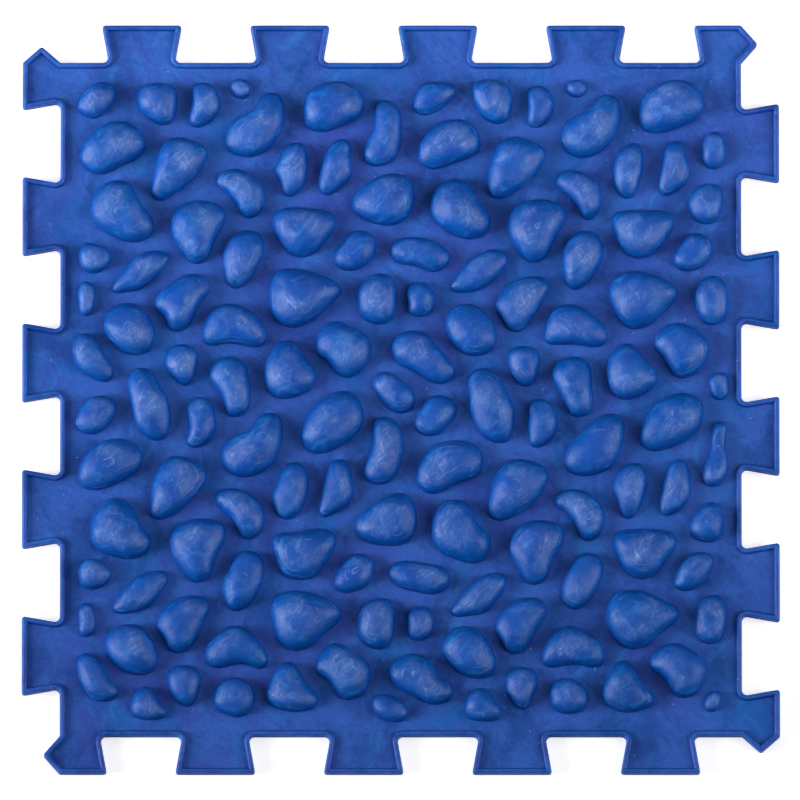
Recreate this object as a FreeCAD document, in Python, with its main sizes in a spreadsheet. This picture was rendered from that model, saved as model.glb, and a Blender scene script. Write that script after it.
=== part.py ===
import FreeCAD, Part
import math
import os
import Sketcher
from FreeCAD import Placement, Rotation, Vector

# Sensory floor mat tile: one square of soft PVC that hooks into its neighbours on all four sides.
# Frame: origin under the middle of the tile, on the floor. +Z is up and +Y points to the north side.
# A side is described from its middle: "along" runs to the right as seen looking outward, "out" runs
# away from the tile. The four sides are one side turned by quarter turns, so that any side of one
# tile fits any side of the next.

SIZES = "sizes"
SIDES = ("north", "east", "south", "west")
TABS_PER_SIDE = 4
UP = Vector(0, 0, 1)
CONTACT = 1e-6
QUARTER_TURN = 90

# Sketch references: the ends of an edge, the two axes, and the origin as a point of an axis.
START_INDEX, END_INDEX = 1, 2
X_AXIS_INDEX, Y_AXIS_INDEX = -1, -2
ORIGIN = (X_AXIS_INDEX, START_INDEX)

# Driving sizes in millimetres, each with its alias in the sheet.
DRIVING_SIZES = (
    ("laid_module", "250"),        # step from one laid tile to the next
    ("tab_reach", "13.2"),         # how far a tab stands out of the square body
    ("tab_flare", "4.8"),          # how much wider a tab is at its end than at its neck
    ("fit_clearance", "0.35"),     # gap at each flank between two hooked tiles
    ("neck_fillet", "1.8"),        # round between a tab's flank and the body
    ("tab_corner_round", "1"),     # round at a tab's outer corners
    ("corner_tip_reach", "5.8"),   # how far a corner tab's point passes the body's corner
    ("sheet_thickness", "3"),      # flat sheet under the pebbles
    ("rim_width", "2"),            # bead along the whole edge
    ("rim_height", "1.6"),         # the bead above the sheet
    ("rim_round", "0.9"),          # round on the bead's two upper edges
    ("pebble_rise", "10"),         # crown of the widest pebbles above the sheet
    ("full_rise_width", "24"),     # narrow width from which a pebble has the full rise
    ("field_offset", "0.3"),       # how far south of the tile's middle the pebbles' middle lies
)

# Part of one pitch that a corner tab adds to the side, beyond one pitch for each other tab.
CORNER_PITCH_SHARE = 0.598

# Most that the bead's rounds may take of its height or of half its width.
ROUND_WALL_SHARE = 0.9

# How the rise falls off with the narrow width of a pebble: a power, below 1 for fuller small ones.
RISE_POWER_SHARE = 0.75

# Sections of a pebble from foot to crown: size as a share of its outline, height as a share of its rise.
CROWN_SHARES = ((1.0, 0.0), (0.965, 0.3), (0.87, 0.58), (0.71, 0.8), (0.47, 0.94), (0.2, 1.0))

# Directions that are tried for the narrow width of a pebble.
WIDTH_DIRECTIONS = 36

# Pebble outlines, each a smooth closed curve through its points: x then y of each point, from the
# middle of the pebble field, in units of this share of the body's side. The four quarters of the
# tile repeat one layout with small differences, and the outer pebbles of the right and left halves
# differ in size.
OUTLINE_UNIT_SHARE = 0.000997
OUTLINE_SHARES = {
    "pebbles_broad_oval": (
        (-473, 366, -466, 384, -453, 399, -435, 411, -415, 415, -395, 410, -382, 398, -376, 383,
         -381, 368, -395, 357, -415, 348, -438, 337, -453, 339, -467, 348),
        (25, 365, 28, 381, 38, 397, 56, 412, 80, 418, 98, 415, 112, 402, 117, 386,
         114, 372, 98, 360, 74, 352, 51, 344, 37, 347, 27, 356),
        (-475, -112, -471, -94, -460, -78, -443, -65, -420, -58, -402, -61, -387, -70, -380, -86,
         -385, -102, -402, -116, -424, -127, -447, -134, -462, -132, -472, -124),
        (23, -116, 26, -98, 36, -81, 53, -67, 76, -61, 99, -63, 115, -73, 121, -89,
         117, -107, 105, -117, 86, -123, 65, -134, 47, -140, 31, -133),
    ),
    "pebbles_big_egg": (
        (-368, 316, -364, 341, -357, 366, -348, 384, -330, 391, -309, 387, -292, 379, -285, 368,
         -289, 354, -304, 332, -321, 316, -339, 304, -354, 297, -365, 303),
        (128, 321, 130, 343, 137, 366, 146, 384, 166, 392, 187, 388, 205, 379, 214, 368,
         210, 355, 200, 338, 184, 320, 162, 307, 143, 300, 131, 307),
        (-369, -164, -367, -141, -363, -117, -352, -97, -336, -85, -318, -86, -298, -95, -286, -109,
         -290, -124, -305, -145, -323, -163, -339, -173, -356, -178, -366, -174),
        (128, -159, 132, -137, 139, -114, 150, -97, 168, -89, 189, -91, 207, -98, 217, -109,
         214, -124, 203, -145, 185, -162, 164, -174, 145, -180, 132, -173),
    ),
    "pebbles_large_kidney": (
        (-457, 282, -454, 300, -444, 316, -429, 325, -413, 327, -400, 322, -391, 309, -383, 291,
         -369, 275, -364, 262, -366, 248, -377, 239, -395, 235, -417, 241, -438, 253, -452, 266),
        (43, 288, 47, 305, 58, 320, 80, 329, 94, 325, 105, 311, 114, 295, 128, 279,
         132, 264, 126, 250, 105, 240, 85, 243, 64, 255, 49, 268),
        (-457, -194, -453, -174, -443, -158, -425, -147, -409, -149, -397, -160, -388, -176,
         -379, -192, -368, -207, -370, -222, -384, -233, -402, -237, -424, -232, -443, -225, -454, -212),
        (44, -195, 47, -174, 58, -157, 78, -149, 96, -154, 105, -168, 113, -186, 124, -195,
         132, -211, 127, -231, 109, -243, 88, -239, 65, -230, 50, -216),
    ),
    "pebbles_heart": (
        (-340, 260, -335, 277, -321, 291, -300, 297, -278, 294, -262, 284, -259, 268, -268, 250,
         -279, 225, -286, 210, -297, 203, -311, 207, -322, 219, -334, 238),
        (158, 264, 162, 279, 175, 291, 196, 298, 218, 297, 236, 289, 243, 275, 238, 261,
         228, 243, 221, 228, 214, 214, 200, 205, 187, 207, 176, 218, 165, 235, 159, 250),
        (-340, -218, -339, -203, -330, -189, -314, -180, -295, -177, -275, -180, -260, -188, -258, -201,
         -263, -217, -272, -234, -277, -252, -285, -267, -298, -272, -312, -267, -322, -254, -331, -241),
        (159, -218, 164, -201, 176, -187, 191, -181, 209, -180, 229, -185, 240, -197, 238, -213,
         229, -229, 222, -242, 218, -257, 210, -269, 197, -275, 185, -272, 177, -259, 169, -245, 162, -233),
    ),
    "pebbles_large_d": (
        (-189, 266, -184, 279, -173, 285, -149, 286, -123, 284, -104, 278, -96, 268, -100, 253,
         -110, 238, -125, 221, -143, 213, -163, 218, -177, 234, -186, 251),
        (311, 265, 314, 275, 326, 281, 352, 282, 377, 282, 393, 279, 403, 269, 401, 257,
         393, 243, 382, 228, 369, 216, 352, 211, 335, 216, 324, 228, 316, 246),
        (-190, -214, -186, -203, -170, -198, -149, -198, -134, -194, -120, -192, -105, -195, -95, -207,
         -97, -220, -106, -235, -116, -250, -129, -264, -148, -268, -167, -264, -178, -254, -184, -235),
        (312, -211, 316, -201, 327, -195, 348, -193, 370, -193, 390, -195, 403, -202, 405, -214,
         398, -228, 388, -242, 376, -257, 356, -267, 340, -262, 327, -251, 318, -233),
    ),
    "pebbles_big_bean": (
        (-258, 386, -256, 400, -246, 417, -233, 425, -217, 432, -209, 443, -201, 454, -190, 458,
         -178, 453, -172, 438, -172, 420, -177, 402, -185, 388, -197, 373, -211, 365, -226, 362,
         -243, 366, -255, 375),
        (236, 393, 239, 404, 248, 417, 266, 427, 282, 438, 291, 449, 302, 455, 313, 453,
         321, 444, 324, 429, 321, 409, 312, 389, 298, 374, 282, 364, 267, 361, 249, 367, 238, 380),
        (-264, -84, -261, -71, -250, -58, -234, -50, -220, -42, -213, -31, -203, -22, -190, -20,
         -179, -25, -175, -41, -175, -61, -181, -80, -191, -96, -208, -109, -229, -115, -247, -111,
         -259, -100),
        (241, -94, 244, -77, 252, -62, 266, -50, 280, -36, 293, -26, 312, -21, 325, -28,
         329, -43, 326, -63, 320, -82, 310, -98, 296, -107, 276, -113, 257, -111, 245, -104),
    ),
    "pebbles_big_oval": (
        (-144, 427, -142, 444, -133, 461, -116, 471, -97, 475, -73, 470, -59, 458, -54, 445,
         -57, 429, -68, 418, -88, 408, -107, 401, -120, 400, -134, 404, -142, 413),
        (350, 425, 354, 444, 366, 460, 384, 472, 406, 477, 426, 473, 440, 461, 447, 445,
         444, 429, 431, 417, 409, 406, 388, 399, 372, 398, 357, 404),
        (-147, -51, -143, -34, -133, -16, -117, 0, -99, 10, -84, 13, -69, 7, -59, -7,
         -55, -24, -60, -42, -72, -57, -89, -68, -107, -77, -125, -80, -139, -73),
        (352, -56, 356, -37, 365, -19, 379, -2, 397, 6, 415, 10, 432, 5, 444, -7,
         445, -21, 438, -42, 424, -57, 403, -68, 383, -75, 370, -76, 358, -70),
    ),
    "pebbles_half_moon": (
        (-308, 456, -303, 470, -291, 473, -278, 468, -269, 453, -266, 438, -269, 428, -280, 417,
         -296, 407, -306, 408, -311, 415, -309, 436),
        (187, 458, 195, 467, 209, 467, 221, 456, 226, 442, 223, 427, 214, 414, 200, 406,
         189, 409, 186, 420, 187, 438),
        (-315, -12, -309, 0, -296, 4, -282, -3, -274, -20, -272, -38, -279, -56, -292, -68,
         -305, -71, -315, -65, -313, -52, -312, -32),
        (188, -16, 193, -3, 207, 1, 221, -8, 230, -27, 228, -46, 218, -61, 204, -70,
         194, -70, 189, -58, 187, -37),
    ),
    "pebbles_crescent": (
        (-272, 325, -268, 334, -258, 341, -245, 344, -230, 340, -215, 332, -204, 320, -201, 305,
         -203, 290, -210, 278, -223, 271, -233, 275, -240, 287, -249, 301, -260, 311, -268, 318),
        (228, 327, 234, 336, 248, 342, 269, 338, 284, 329, 293, 316, 296, 301, 293, 287,
         286, 275, 275, 268, 266, 275, 261, 287, 253, 298, 240, 310, 231, 319),
        (-273, -149, -269, -138, -258, -133, -242, -133, -225, -139, -210, -150, -202, -168, -202, -186,
         -210, -200, -224, -208, -234, -203, -243, -187, -256, -170, -268, -159),
        (227, -152, 232, -141, 244, -135, 259, -134, 275, -139, 289, -150, 299, -170, 297, -190,
         289, -204, 275, -210, 264, -203, 257, -187, 248, -173, 235, -162),
    ),
    "pebbles_long_bean": (
        (-25, 447, -34, 443, -38, 431, -38, 413, -43, 397, -51, 381, -55, 366, -52, 355,
         -41, 349, -23, 351, -9, 361, -2, 377, 1, 399, 0, 420, -4, 435, -13, 443),
        (444, 374, 447, 389, 460, 400, 472, 395, 478, 379, 477, 361, 471, 348, 460, 344,
         448, 350, 444, 361),
        (-24, -26, -36, -29, -41, -43, -40, -61, -44, -79, -51, -95, -54, -109, -48, -121,
         -32, -126, -15, -120, -4, -103, 3, -80, 2, -57, -4, -39, -12, -29),
        (471, -32, 462, -36, 458, -48, 457, -66, 454, -82, 447, -98, 444, -114, 447, -125,
         458, -129, 470, -125, 478, -112, 482, -96, 479, -80, 477, -62, 480, -46, 479, -36),
    ),
    "pebbles_small_bean": (
        (-156, 383, -168, 378, -176, 366, -181, 354, -186, 342, -181, 331, -176, 320, -173, 308,
         -166, 303, -154, 307, -143, 320, -139, 336, -138, 354, -140, 372, -146, 382),
        (343, 383, 330, 376, 319, 363, 314, 343, 314, 323, 320, 309, 331, 300, 343, 305,
         350, 321, 356, 343, 357, 361, 353, 376),
        (-156, -93, -170, -99, -178, -113, -182, -126, -189, -139, -188, -154, -183, -168, -168, -178,
         -154, -172, -143, -156, -137, -133, -137, -112, -144, -98),
        (344, -94, 330, -99, 319, -109, 313, -122, 313, -135, 318, -150, 322, -165, 328, -175,
         338, -176, 348, -167, 354, -152, 359, -138, 362, -123, 359, -107, 354, -98),
    ),
    "pebbles_leaf": (
        (-88, 389, -98, 384, -107, 373, -115, 357, -119, 339, -122, 323, -119, 311, -109, 305,
         -95, 312, -80, 325, -73, 336, -72, 349, -75, 366, -74, 381, -79, 387),
        (405, 386, 393, 380, 387, 363, 384, 345, 380, 327, 381, 311, 389, 304, 402, 310,
         417, 321, 425, 338, 423, 354, 418, 371, 414, 382),
        (-91, -89, -103, -94, -109, -109, -114, -129, -118, -149, -120, -167, -116, -174, -105, -172,
         -88, -163, -75, -152, -70, -136, -73, -118, -76, -102, -81, -92),
        (407, -89, 397, -95, 391, -107, 386, -127, 382, -147, 381, -163, 386, -172, 393, -172,
         408, -165, 420, -152, 427, -134, 425, -116, 422, -98, 417, -91),
    ),
    "pebbles_large_egg": (
        (-72, 289, -69, 302, -59, 314, -46, 325, -29, 334, -8, 337, 8, 332, 17, 319,
         20, 302, 16, 283, 5, 269, -10, 261, -27, 261, -44, 265, -58, 272, -68, 280),
        (424, 289, 427, 304, 440, 318, 458, 322, 470, 316, 474, 300, 472, 282, 465, 268,
         449, 262, 435, 267, 427, 278),
        (-68, -187, -64, -176, -50, -163, -34, -151, -17, -142, 0, -139, 11, -143, 20, -157,
         23, -177, 21, -197, 11, -210, -9, -217, -29, -216, -48, -212, -62, -201),
        (425, -191, 428, -178, 437, -165, 447, -156, 460, -153, 469, -160, 474, -174, 473, -192,
         467, -206, 451, -212, 437, -208, 428, -201),
    ),
    "pebbles_egg": (
        (-262, 209, -260, 225, -251, 240, -233, 252, -215, 250, -204, 240, -202, 223, -208, 203,
         -218, 186, -231, 171, -243, 166, -254, 172, -260, 189),
        (238, 210, 241, 227, 250, 242, 266, 251, 284, 249, 294, 238, 298, 220, 293, 202,
         284, 186, 271, 172, 257, 164, 246, 171, 240, 189),
        (-262, -282, -260, -265, -253, -254, -248, -241, -239, -230, -224, -225, -210, -230, -202, -243,
         -202, -259, -206, -277, -214, -292, -222, -305, -234, -312, -245, -314, -254, -308, -260, -297),
        (238, -282, 241, -265, 250, -249, 262, -233, 277, -228, 291, -235, 297, -248, 294, -267,
         287, -282, 278, -297, 267, -307, 255, -312, 244, -306, 238, -295),
    ),
    "pebbles_small_kidney": (
        (-98, 211, -93, 224, -85, 232, -77, 245, -63, 252, -46, 248, -37, 234, -40, 216,
         -52, 202, -70, 193, -86, 195, -95, 201),
        (402, 211, 406, 223, 413, 233, 421, 243, 433, 248, 447, 245, 457, 235, 458, 219,
         450, 204, 437, 195, 422, 192, 409, 196),
        (-98, -271, -95, -260, -86, -246, -75, -234, -61, -229, -48, -233, -40, -242, -40, -254,
         -43, -266, -52, -277, -69, -285, -84, -287, -94, -281),
        (402, -275, 404, -262, 410, -247, 421, -235, 434, -228, 449, -228, 459, -236, 459, -246,
         453, -259, 445, -270, 434, -280, 420, -284, 408, -282),
    ),
    "pebbles_flat_oval": (
        (-474, 214, -471, 227, -461, 234, -447, 230, -432, 226, -426, 217, -429, 205, -441, 192,
         -454, 189, -467, 194, -473, 204),
        (-15, 224, -9, 236, 3, 241, 25, 242, 47, 237, 63, 228, 72, 216, 69, 203,
         59, 194, 47, 191, 34, 195, 21, 200, 6, 202, -8, 207),
        (-474, -263, -473, -250, -463, -239, -448, -238, -434, -246, -426, -257, -431, -270,
         -443, -279, -458, -282, -470, -276),
        (-18, -257, -12, -246, -1, -241, 12, -240, 31, -243, 49, -246, 64, -251, 72, -262,
         70, -275, 60, -285, 43, -289, 22, -285, 3, -280, -11, -271),
    ),
    "pebbles_long_leaf": (
        (-426, 165, -421, 176, -409, 193, -395, 209, -381, 218, -364, 222, -348, 219, -341, 212,
         -345, 202, -357, 187, -372, 174, -389, 163, -407, 161, -420, 160),
        (72, 169, 80, 182, 92, 197, 105, 210, 120, 219, 137, 224, 151, 219, 158, 211,
         152, 196, 139, 182, 126, 170, 110, 162, 92, 160, 78, 162),
        (-424, -309, -418, -296, -406, -280, -391, -267, -375, -258, -361, -255, -347, -257, -342, -264,
         -347, -277, -356, -290, -366, -303, -381, -313, -399, -317, -414, -318, -422, -315),
        (73, -315, 80, -302, 94, -286, 108, -271, 124, -261, 139, -258, 151, -261, 155, -271,
         150, -286, 140, -298, 131, -310, 118, -318, 98, -321, 78, -321),
    ),
    "pebbles_fish": (
        (-363, 142, -359, 153, -347, 165, -330, 179, -311, 187, -294, 186, -284, 178, -281, 165,
         -290, 151, -299, 137, -306, 122, -313, 110, -328, 102, -340, 105, -345, 117, -353, 129,
         -361, 135),
        (139, 144, 147, 157, 160, 171, 178, 181, 196, 184, 210, 181, 219, 172, 216, 160,
         207, 144, 196, 126, 185, 110, 171, 101, 160, 105, 151, 117, 143, 131),
        (-360, -336, -355, -323, -345, -308, -330, -297, -311, -292, -292, -294, -281, -304, -284, -318,
         -291, -332, -296, -346, -305, -362, -314, -373, -328, -377, -339, -372, -345, -361, -353, -348),
        (138, -340, 142, -327, 151, -313, 166, -301, 185, -295, 203, -297, 213, -307, 212, -321,
         202, -338, 193, -354, 185, -368, 170, -378, 158, -375, 150, -363, 143, -350),
    ),
    "pebbles_wide_egg": (
        (-194, 157, -190, 180, -181, 192, -165, 195, -141, 193, -116, 185, -95, 175, -87, 164,
         -95, 151, -113, 133, -134, 117, -157, 108, -175, 112, -188, 126),
        (307, 162, 311, 177, 323, 187, 345, 192, 367, 188, 388, 180, 403, 170, 409, 160,
         400, 144, 382, 126, 363, 111, 341, 106, 327, 113, 316, 128, 309, 145),
        (-191, -320, -190, -303, -181, -291, -161, -285, -138, -286, -116, -293, -98, -302, -87, -316,
         -93, -331, -110, -345, -124, -359, -138, -369, -155, -373, -172, -367, -183, -353, -188, -337),
        (302, -320, 305, -302, 316, -289, 335, -283, 359, -286, 382, -296, 400, -305, 409, -318,
         401, -332, 381, -348, 363, -364, 341, -371, 323, -364, 311, -350, 304, -336),
    ),
    "pebbles_round_oval": (
        (-64, 148, -62, 166, -50, 180, -32, 188, -17, 184, -8, 170, -6, 150, -9, 128,
         -19, 116, -35, 113, -51, 119, -62, 132),
        (432, 148, 435, 166, 445, 178, 461, 185, 474, 178, 481, 162, 482, 144, 479, 126,
         466, 113, 451, 113, 439, 126),
        (-64, -338, -62, -320, -52, -304, -33, -296, -18, -298, -10, -312, -9, -332, -12, -352,
         -19, -366, -32, -371, -49, -365, -61, -352),
        (432, -340, 434, -320, 438, -304, 450, -293, 467, -292, 476, -304, 479, -322, 476, -341,
         468, -358, 456, -363, 442, -359, 434, -350),
    ),
    "pebbles_small_round": (
        (-475, 151, -474, 166, -466, 176, -455, 172, -450, 159, -452, 141, -456, 129, -466, 125,
         -473, 131),
        (9, 151, 12, 168, 25, 175, 40, 170, 49, 156, 48, 138, 40, 128, 26, 124, 13, 129),
        (-474, -322, -472, -309, -463, -302, -454, -307, -449, -320, -448, -336, -453, -348,
         -465, -353, -472, -348, -474, -337),
        (10, -331, 12, -317, 24, -308, 39, -310, 47, -321, 48, -338, 41, -352, 28, -358,
         15, -354, 10, -343),
    ),
    "pebbles_large_round": (
        (-437, 108, -433, 126, -420, 139, -402, 144, -384, 138, -372, 123, -362, 103, -364, 87,
         -374, 72, -389, 67, -406, 70, -420, 80, -433, 96),
        (66, 110, 69, 126, 80, 138, 96, 143, 114, 138, 128, 126, 137, 110, 141, 94,
         137, 79, 125, 69, 108, 66, 90, 71, 78, 81, 69, 96),
        (-435, -364, -431, -350, -420, -340, -400, -334, -382, -338, -371, -350, -362, -366, -357, -382,
         -361, -397, -372, -407, -389, -409, -406, -404, -420, -393, -431, -380),
        (61, -372, 65, -354, 77, -343, 94, -337, 112, -343, 126, -357, 135, -374, 139, -391,
         134, -407, 122, -414, 105, -413, 87, -406, 73, -393, 65, -383),
    ),
    "pebbles_wide_kidney": (
        (-292, 96, -290, 112, -280, 130, -268, 139, -252, 143, -232, 138, -211, 123, -201, 107,
         -199, 90, -207, 80, -224, 80, -245, 84, -262, 84, -277, 81, -287, 84),
        (211, 93, 213, 112, 222, 130, 236, 140, 251, 142, 267, 137, 284, 126, 298, 112,
         304, 98, 301, 86, 287, 79, 266, 82, 242, 83, 222, 83, 214, 86),
        (-288, -381, -285, -367, -275, -354, -260, -342, -243, -336, -229, -341, -214, -354, -202, -370,
         -196, -384, -198, -396, -208, -400, -223, -395, -240, -392, -254, -396, -269, -399, -283, -393),
        (207, -388, 209, -374, 217, -357, 231, -343, 248, -337, 266, -342, 284, -353, 296, -367,
         300, -382, 294, -394, 282, -398, 264, -394, 247, -394, 231, -397, 215, -397),
    ),
    "pebbles_slanted_bean": (
        (-483, 70, -480, 87, -467, 99, -453, 93, -443, 79, -434, 63, -425, 51, -423, 38,
         -433, 27, -447, 30, -463, 38, -478, 53),
        (-14, 78, -10, 91, 2, 99, 22, 103, 35, 99, 46, 88, 60, 72, 73, 57,
         80, 44, 73, 30, 58, 24, 43, 28, 28, 38, 12, 47, -2, 53, -11, 64),
        (-476, -397, -474, -384, -463, -377, -451, -382, -441, -394, -433, -409, -424, -421, -415, -430,
         -418, -441, -431, -448, -444, -448, -456, -442, -467, -427, -474, -411),
        (-18, -405, -14, -395, -2, -385, 10, -379, 23, -378, 36, -383, 48, -397, 60, -413,
         71, -422, 78, -431, 71, -445, 55, -453, 37, -450, 18, -440, 0, -431, -13, -419),
    ),
    "pebbles_teardrop": (
        (-347, 60, -343, 72, -331, 81, -316, 82, -304, 74, -298, 64, -301, 49, -306, 31,
         -316, 21, -328, 27, -339, 38, -346, 47),
        (157, 60, 161, 73, 173, 79, 187, 79, 200, 73, 205, 60, 202, 44, 197, 29,
         184, 20, 173, 25, 163, 39),
        (-343, -417, -340, -404, -330, -397, -318, -395, -303, -400, -295, -411, -296, -428, -302, -446,
         -311, -456, -323, -452, -336, -440, -341, -429),
        (154, -422, 157, -408, 167, -400, 180, -398, 194, -402, 200, -414, 199, -430, 191, -448,
         181, -461, 172, -457, 162, -444, 155, -433),
    ),
    "pebbles_bent_egg": (
        (-125, 80, -120, 99, -107, 113, -93, 117, -79, 111, -61, 103, -48, 92, -44, 76,
         -47, 58, -61, 42, -78, 33, -91, 38, -102, 51, -113, 62, -123, 69),
        (373, 80, 376, 95, 387, 107, 405, 114, 425, 110, 442, 98, 453, 84, 453, 67,
         443, 49, 428, 37, 413, 32, 400, 40, 391, 55, 382, 69),
        (-125, -402, -121, -385, -109, -368, -97, -362, -82, -367, -66, -377, -53, -386, -46, -400,
         -46, -418, -53, -433, -66, -443, -81, -446, -93, -438, -102, -424, -113, -413),
        (365, -391, 370, -379, 384, -368, 400, -362, 415, -366, 431, -375, 445, -386, 450, -400,
         445, -420, 433, -436, 414, -443, 402, -438, 395, -426, 385, -412, 371, -402),
    ),
    "pebbles_tapered_bean": (
        (-282, 36, -278, 50, -267, 61, -252, 64, -238, 60, -229, 51, -225, 36, -222, 16,
         -222, -5, -229, -19, -242, -25, -253, -23, -259, -12, -263, 3, -272, 17),
        (223, 37, 227, 51, 237, 60, 252, 64, 268, 61, 277, 51, 280, 36, 281, 16,
         283, -2, 277, -19, 262, -25, 250, -21, 243, -8, 236, 7, 227, 22),
    ),
    "pebbles_low_round": (
        (-275, -444, -271, -430, -261, -418, -247, -413, -231, -417, -220, -426, -215, -440,
         -218, -458, -228, -468, -240, -472, -254, -468, -270, -459),
        (219, -440, 222, -426, 232, -417, 246, -414, 260, -420, 271, -429, 276, -442,
         271, -456, 259, -465, 245, -467, 232, -464, 222, -455),
    ),
    "pebbles_dot": (
        (-252, 467, -249, 475, -238, 478, -227, 475, -222, 467, -223, 456, -231, 450, -241, 451,
         -249, 459),
        (244, 467, 248, 474, 256, 477, 266, 475, 275, 466, 270, 456, 260, 451, 249, 455),
    ),
    "pebbles_triangle": (
        (-202, 42, -198, 60, -188, 74, -179, 85, -168, 88, -157, 84, -147, 71, -134, 52,
         -125, 38, -127, 24, -140, 12, -158, 4, -177, 2, -192, 10, -200, 25),
        (303, 31, 303, 49, 309, 67, 321, 79, 335, 84, 347, 76, 357, 62, 370, 47,
         378, 35, 374, 22, 359, 11, 341, 2, 326, 1, 311, 10),
        (-198, -441, -195, -426, -188, -411, -181, -398, -168, -390, -155, -395, -145, -412, -134, -428,
         -123, -441, -123, -454, -136, -461, -155, -464, -175, -461, -191, -453),
        (295, -438, 300, -420, 309, -404, 318, -392, 329, -388, 340, -396, 349, -412, 359, -427,
         371, -439, 371, -451, 356, -460, 334, -465, 314, -460, 300, -451),
    ),
    "pebbles_small_oval": (
        (-41, 24, -36, 36, -25, 42, -11, 38, 1, 29, 13, 20, 20, 8, 20, -6,
         13, -15, 1, -20, -13, -16, -26, -3, -36, 10),
        (454, 19, 457, 35, 469, 41, 480, 35, 482, 20, 480, 6, 469, 0, 458, 6),
        (-42, -453, -40, -444, -30, -438, -14, -441, 0, -449, 10, -460, 10, -470, 1, -478,
         -14, -478, -30, -472, -39, -463),
        (446, -451, 451, -440, 461, -433, 470, -436, 471, -444, 468, -456, 457, -464, 448, -461),
    ),
    "pebbles_tall_oval": (
        (-402, 22, -398, 39, -386, 47, -371, 44, -360, 30, -349, 11, -341, -8, -339, -28,
         -342, -47, -350, -58, -362, -60, -377, -52, -388, -41, -394, -24, -399, 0),
        (99, 18, 102, 35, 113, 45, 128, 46, 140, 37, 151, 21, 161, 1, 167, -18,
         165, -42, 156, -62, 144, -64, 126, -57, 115, -47, 106, -30, 101, -8),
    ),
    "pebbles_small_heart": (
        (-389, 449, -386, 461, -376, 470, -360, 472, -341, 470, -331, 461, -330, 444, -333, 424,
         -340, 413, -350, 410, -366, 417, -381, 429),
        (105, 461, 109, 472, 123, 477, 142, 476, 156, 467, 164, 451, 162, 433, 158, 419,
         144, 412, 130, 416, 117, 427, 109, 444),
        (-397, -453, -393, -440, -384, -430, -373, -427, -364, -433, -358, -446, -350, -456, -343, -464,
         -348, -472, -361, -476, -377, -475, -391, -471, -397, -463),
        (94, -458, 97, -444, 105, -433, 117, -429, 129, -434, 136, -447, 145, -456, 148, -465,
         142, -475, 126, -478, 107, -476, 97, -470),
    ),
    "pebbles_short_oval": (
        (-477, 438, -470, 454, -458, 467, -444, 474, -431, 472, -422, 463, -422, 449, -431, 435,
         -442, 424, -453, 420, -467, 425),
        (18, 438, 21, 454, 29, 467, 44, 474, 62, 473, 77, 469, 82, 461, 78, 452,
         67, 442, 53, 431, 37, 425, 24, 428),
        (-480, -34, -473, -15, -461, 0, -443, 6, -428, 3, -418, -10, -422, -25, -435, -41,
         -452, -51, -467, -49, -476, -43),
        (20, -37, 22, -26, 31, -12, 39, 0, 51, 6, 68, 4, 80, -5, 82, -19,
         71, -35, 60, -48, 44, -54, 28, -49),
    ),
}


def fill_sheet(doc):
    """Write the driving sizes and the sizes that follow from them."""
    sheet = doc.addObject("Spreadsheet::Sheet", SIZES)
    derived_sizes = (
        ("body_side", "=laid_module - tab_reach"),
        ("tab_pitch", f"=body_side / ({TABS_PER_SIDE} + {CORNER_PITCH_SHARE})"),
        ("tab_end", "=(tab_pitch + tab_flare) / 2 - fit_clearance"),
        ("tab_neck", "=tab_end - tab_flare"),
        # The row of tabs lies a quarter pitch left of the middle, so that a turned side's tabs
        # meet this side's gaps.
        ("first_along", f"=-tab_pitch * ({TABS_PER_SIDE} - 1) / 2 - tab_pitch / 4"),
        ("corner_along", f"=first_along + tab_pitch * {TABS_PER_SIDE}"),
        ("corner_stub", "=body_side / 2 - corner_along"),
    )
    for row, (alias, content) in enumerate(DRIVING_SIZES + derived_sizes, start=1):
        sheet.set(f"A{row}", alias)
        sheet.set(f"B{row}", content)
        sheet.setAlias(f"B{row}", alias)
    doc.recompute()


def size(doc, alias):
    return float(getattr(doc.getObject(SIZES), alias))


def origin_plane(body, role):
    return next(plane for plane in body.Origin.OriginFeatures if plane.Role == role)


def add_body(doc, label):
    """A body with an empty sketch on its XY plane."""
    body = doc.addObject("PartDesign::Body", label)
    sketch = body.newObject("Sketcher::SketchObject", label + "_plan")
    sketch.AttachmentSupport = [(origin_plane(body, "XY_Plane"), "")]
    sketch.MapMode = "FlatFace"
    return body, sketch


def add_lines(sketch, corners, closed=False):
    """Lines through the corners in turn, joined end to end."""
    ends = corners[1:] + corners[:1] if closed else corners[1:]
    first = sketch.GeometryCount
    for start, end in zip(corners, ends):
        sketch.addGeometry(Part.LineSegment(start, end), False)
    count = sketch.GeometryCount - first
    for step in range(count if closed else count - 1):
        joined = (step + 1) % count
        tie(sketch, "Coincident", (first + step, END_INDEX, first + joined, START_INDEX))


def tie(sketch, kind, *references):
    """One geometric constraint for each tuple of references."""
    for reference in references:
        sketch.addConstraint(Sketcher.Constraint(kind, *reference))


def bind(sketch, expression, *definition):
    """A dimension of the sketch that reads its value from the sheet."""
    index = sketch.addConstraint(Sketcher.Constraint(*definition))
    sketch.setExpression(f"Constraints[{index}]", expression)


def pad(body, sketch):
    feature = body.newObject("PartDesign::Pad", body.Label + "_pad")
    feature.Profile = sketch
    feature.setExpression("Length", f"{SIZES}.sheet_thickness")
    body.Tip = feature


def round_corners(body, corners):
    """Round the upright edges that stand on the given corners of a padded tab."""
    body.Document.recompute()
    solid = body.Tip
    upright = []
    for number, edge in enumerate(solid.Shape.Edges, start=1):
        ends = [Vector(vertex.X, vertex.Y, 0) for vertex in edge.Vertexes]
        if any(all(end.isEqual(corner, CONTACT) for end in ends) for corner in corners):
            upright.append(f"Edge{number}")
    feature = body.newObject("PartDesign::Fillet", body.Label + "_corners")
    feature.Base = (solid, upright)
    feature.setExpression("Radius", f"{SIZES}.tab_corner_round")
    body.Tip = feature


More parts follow.
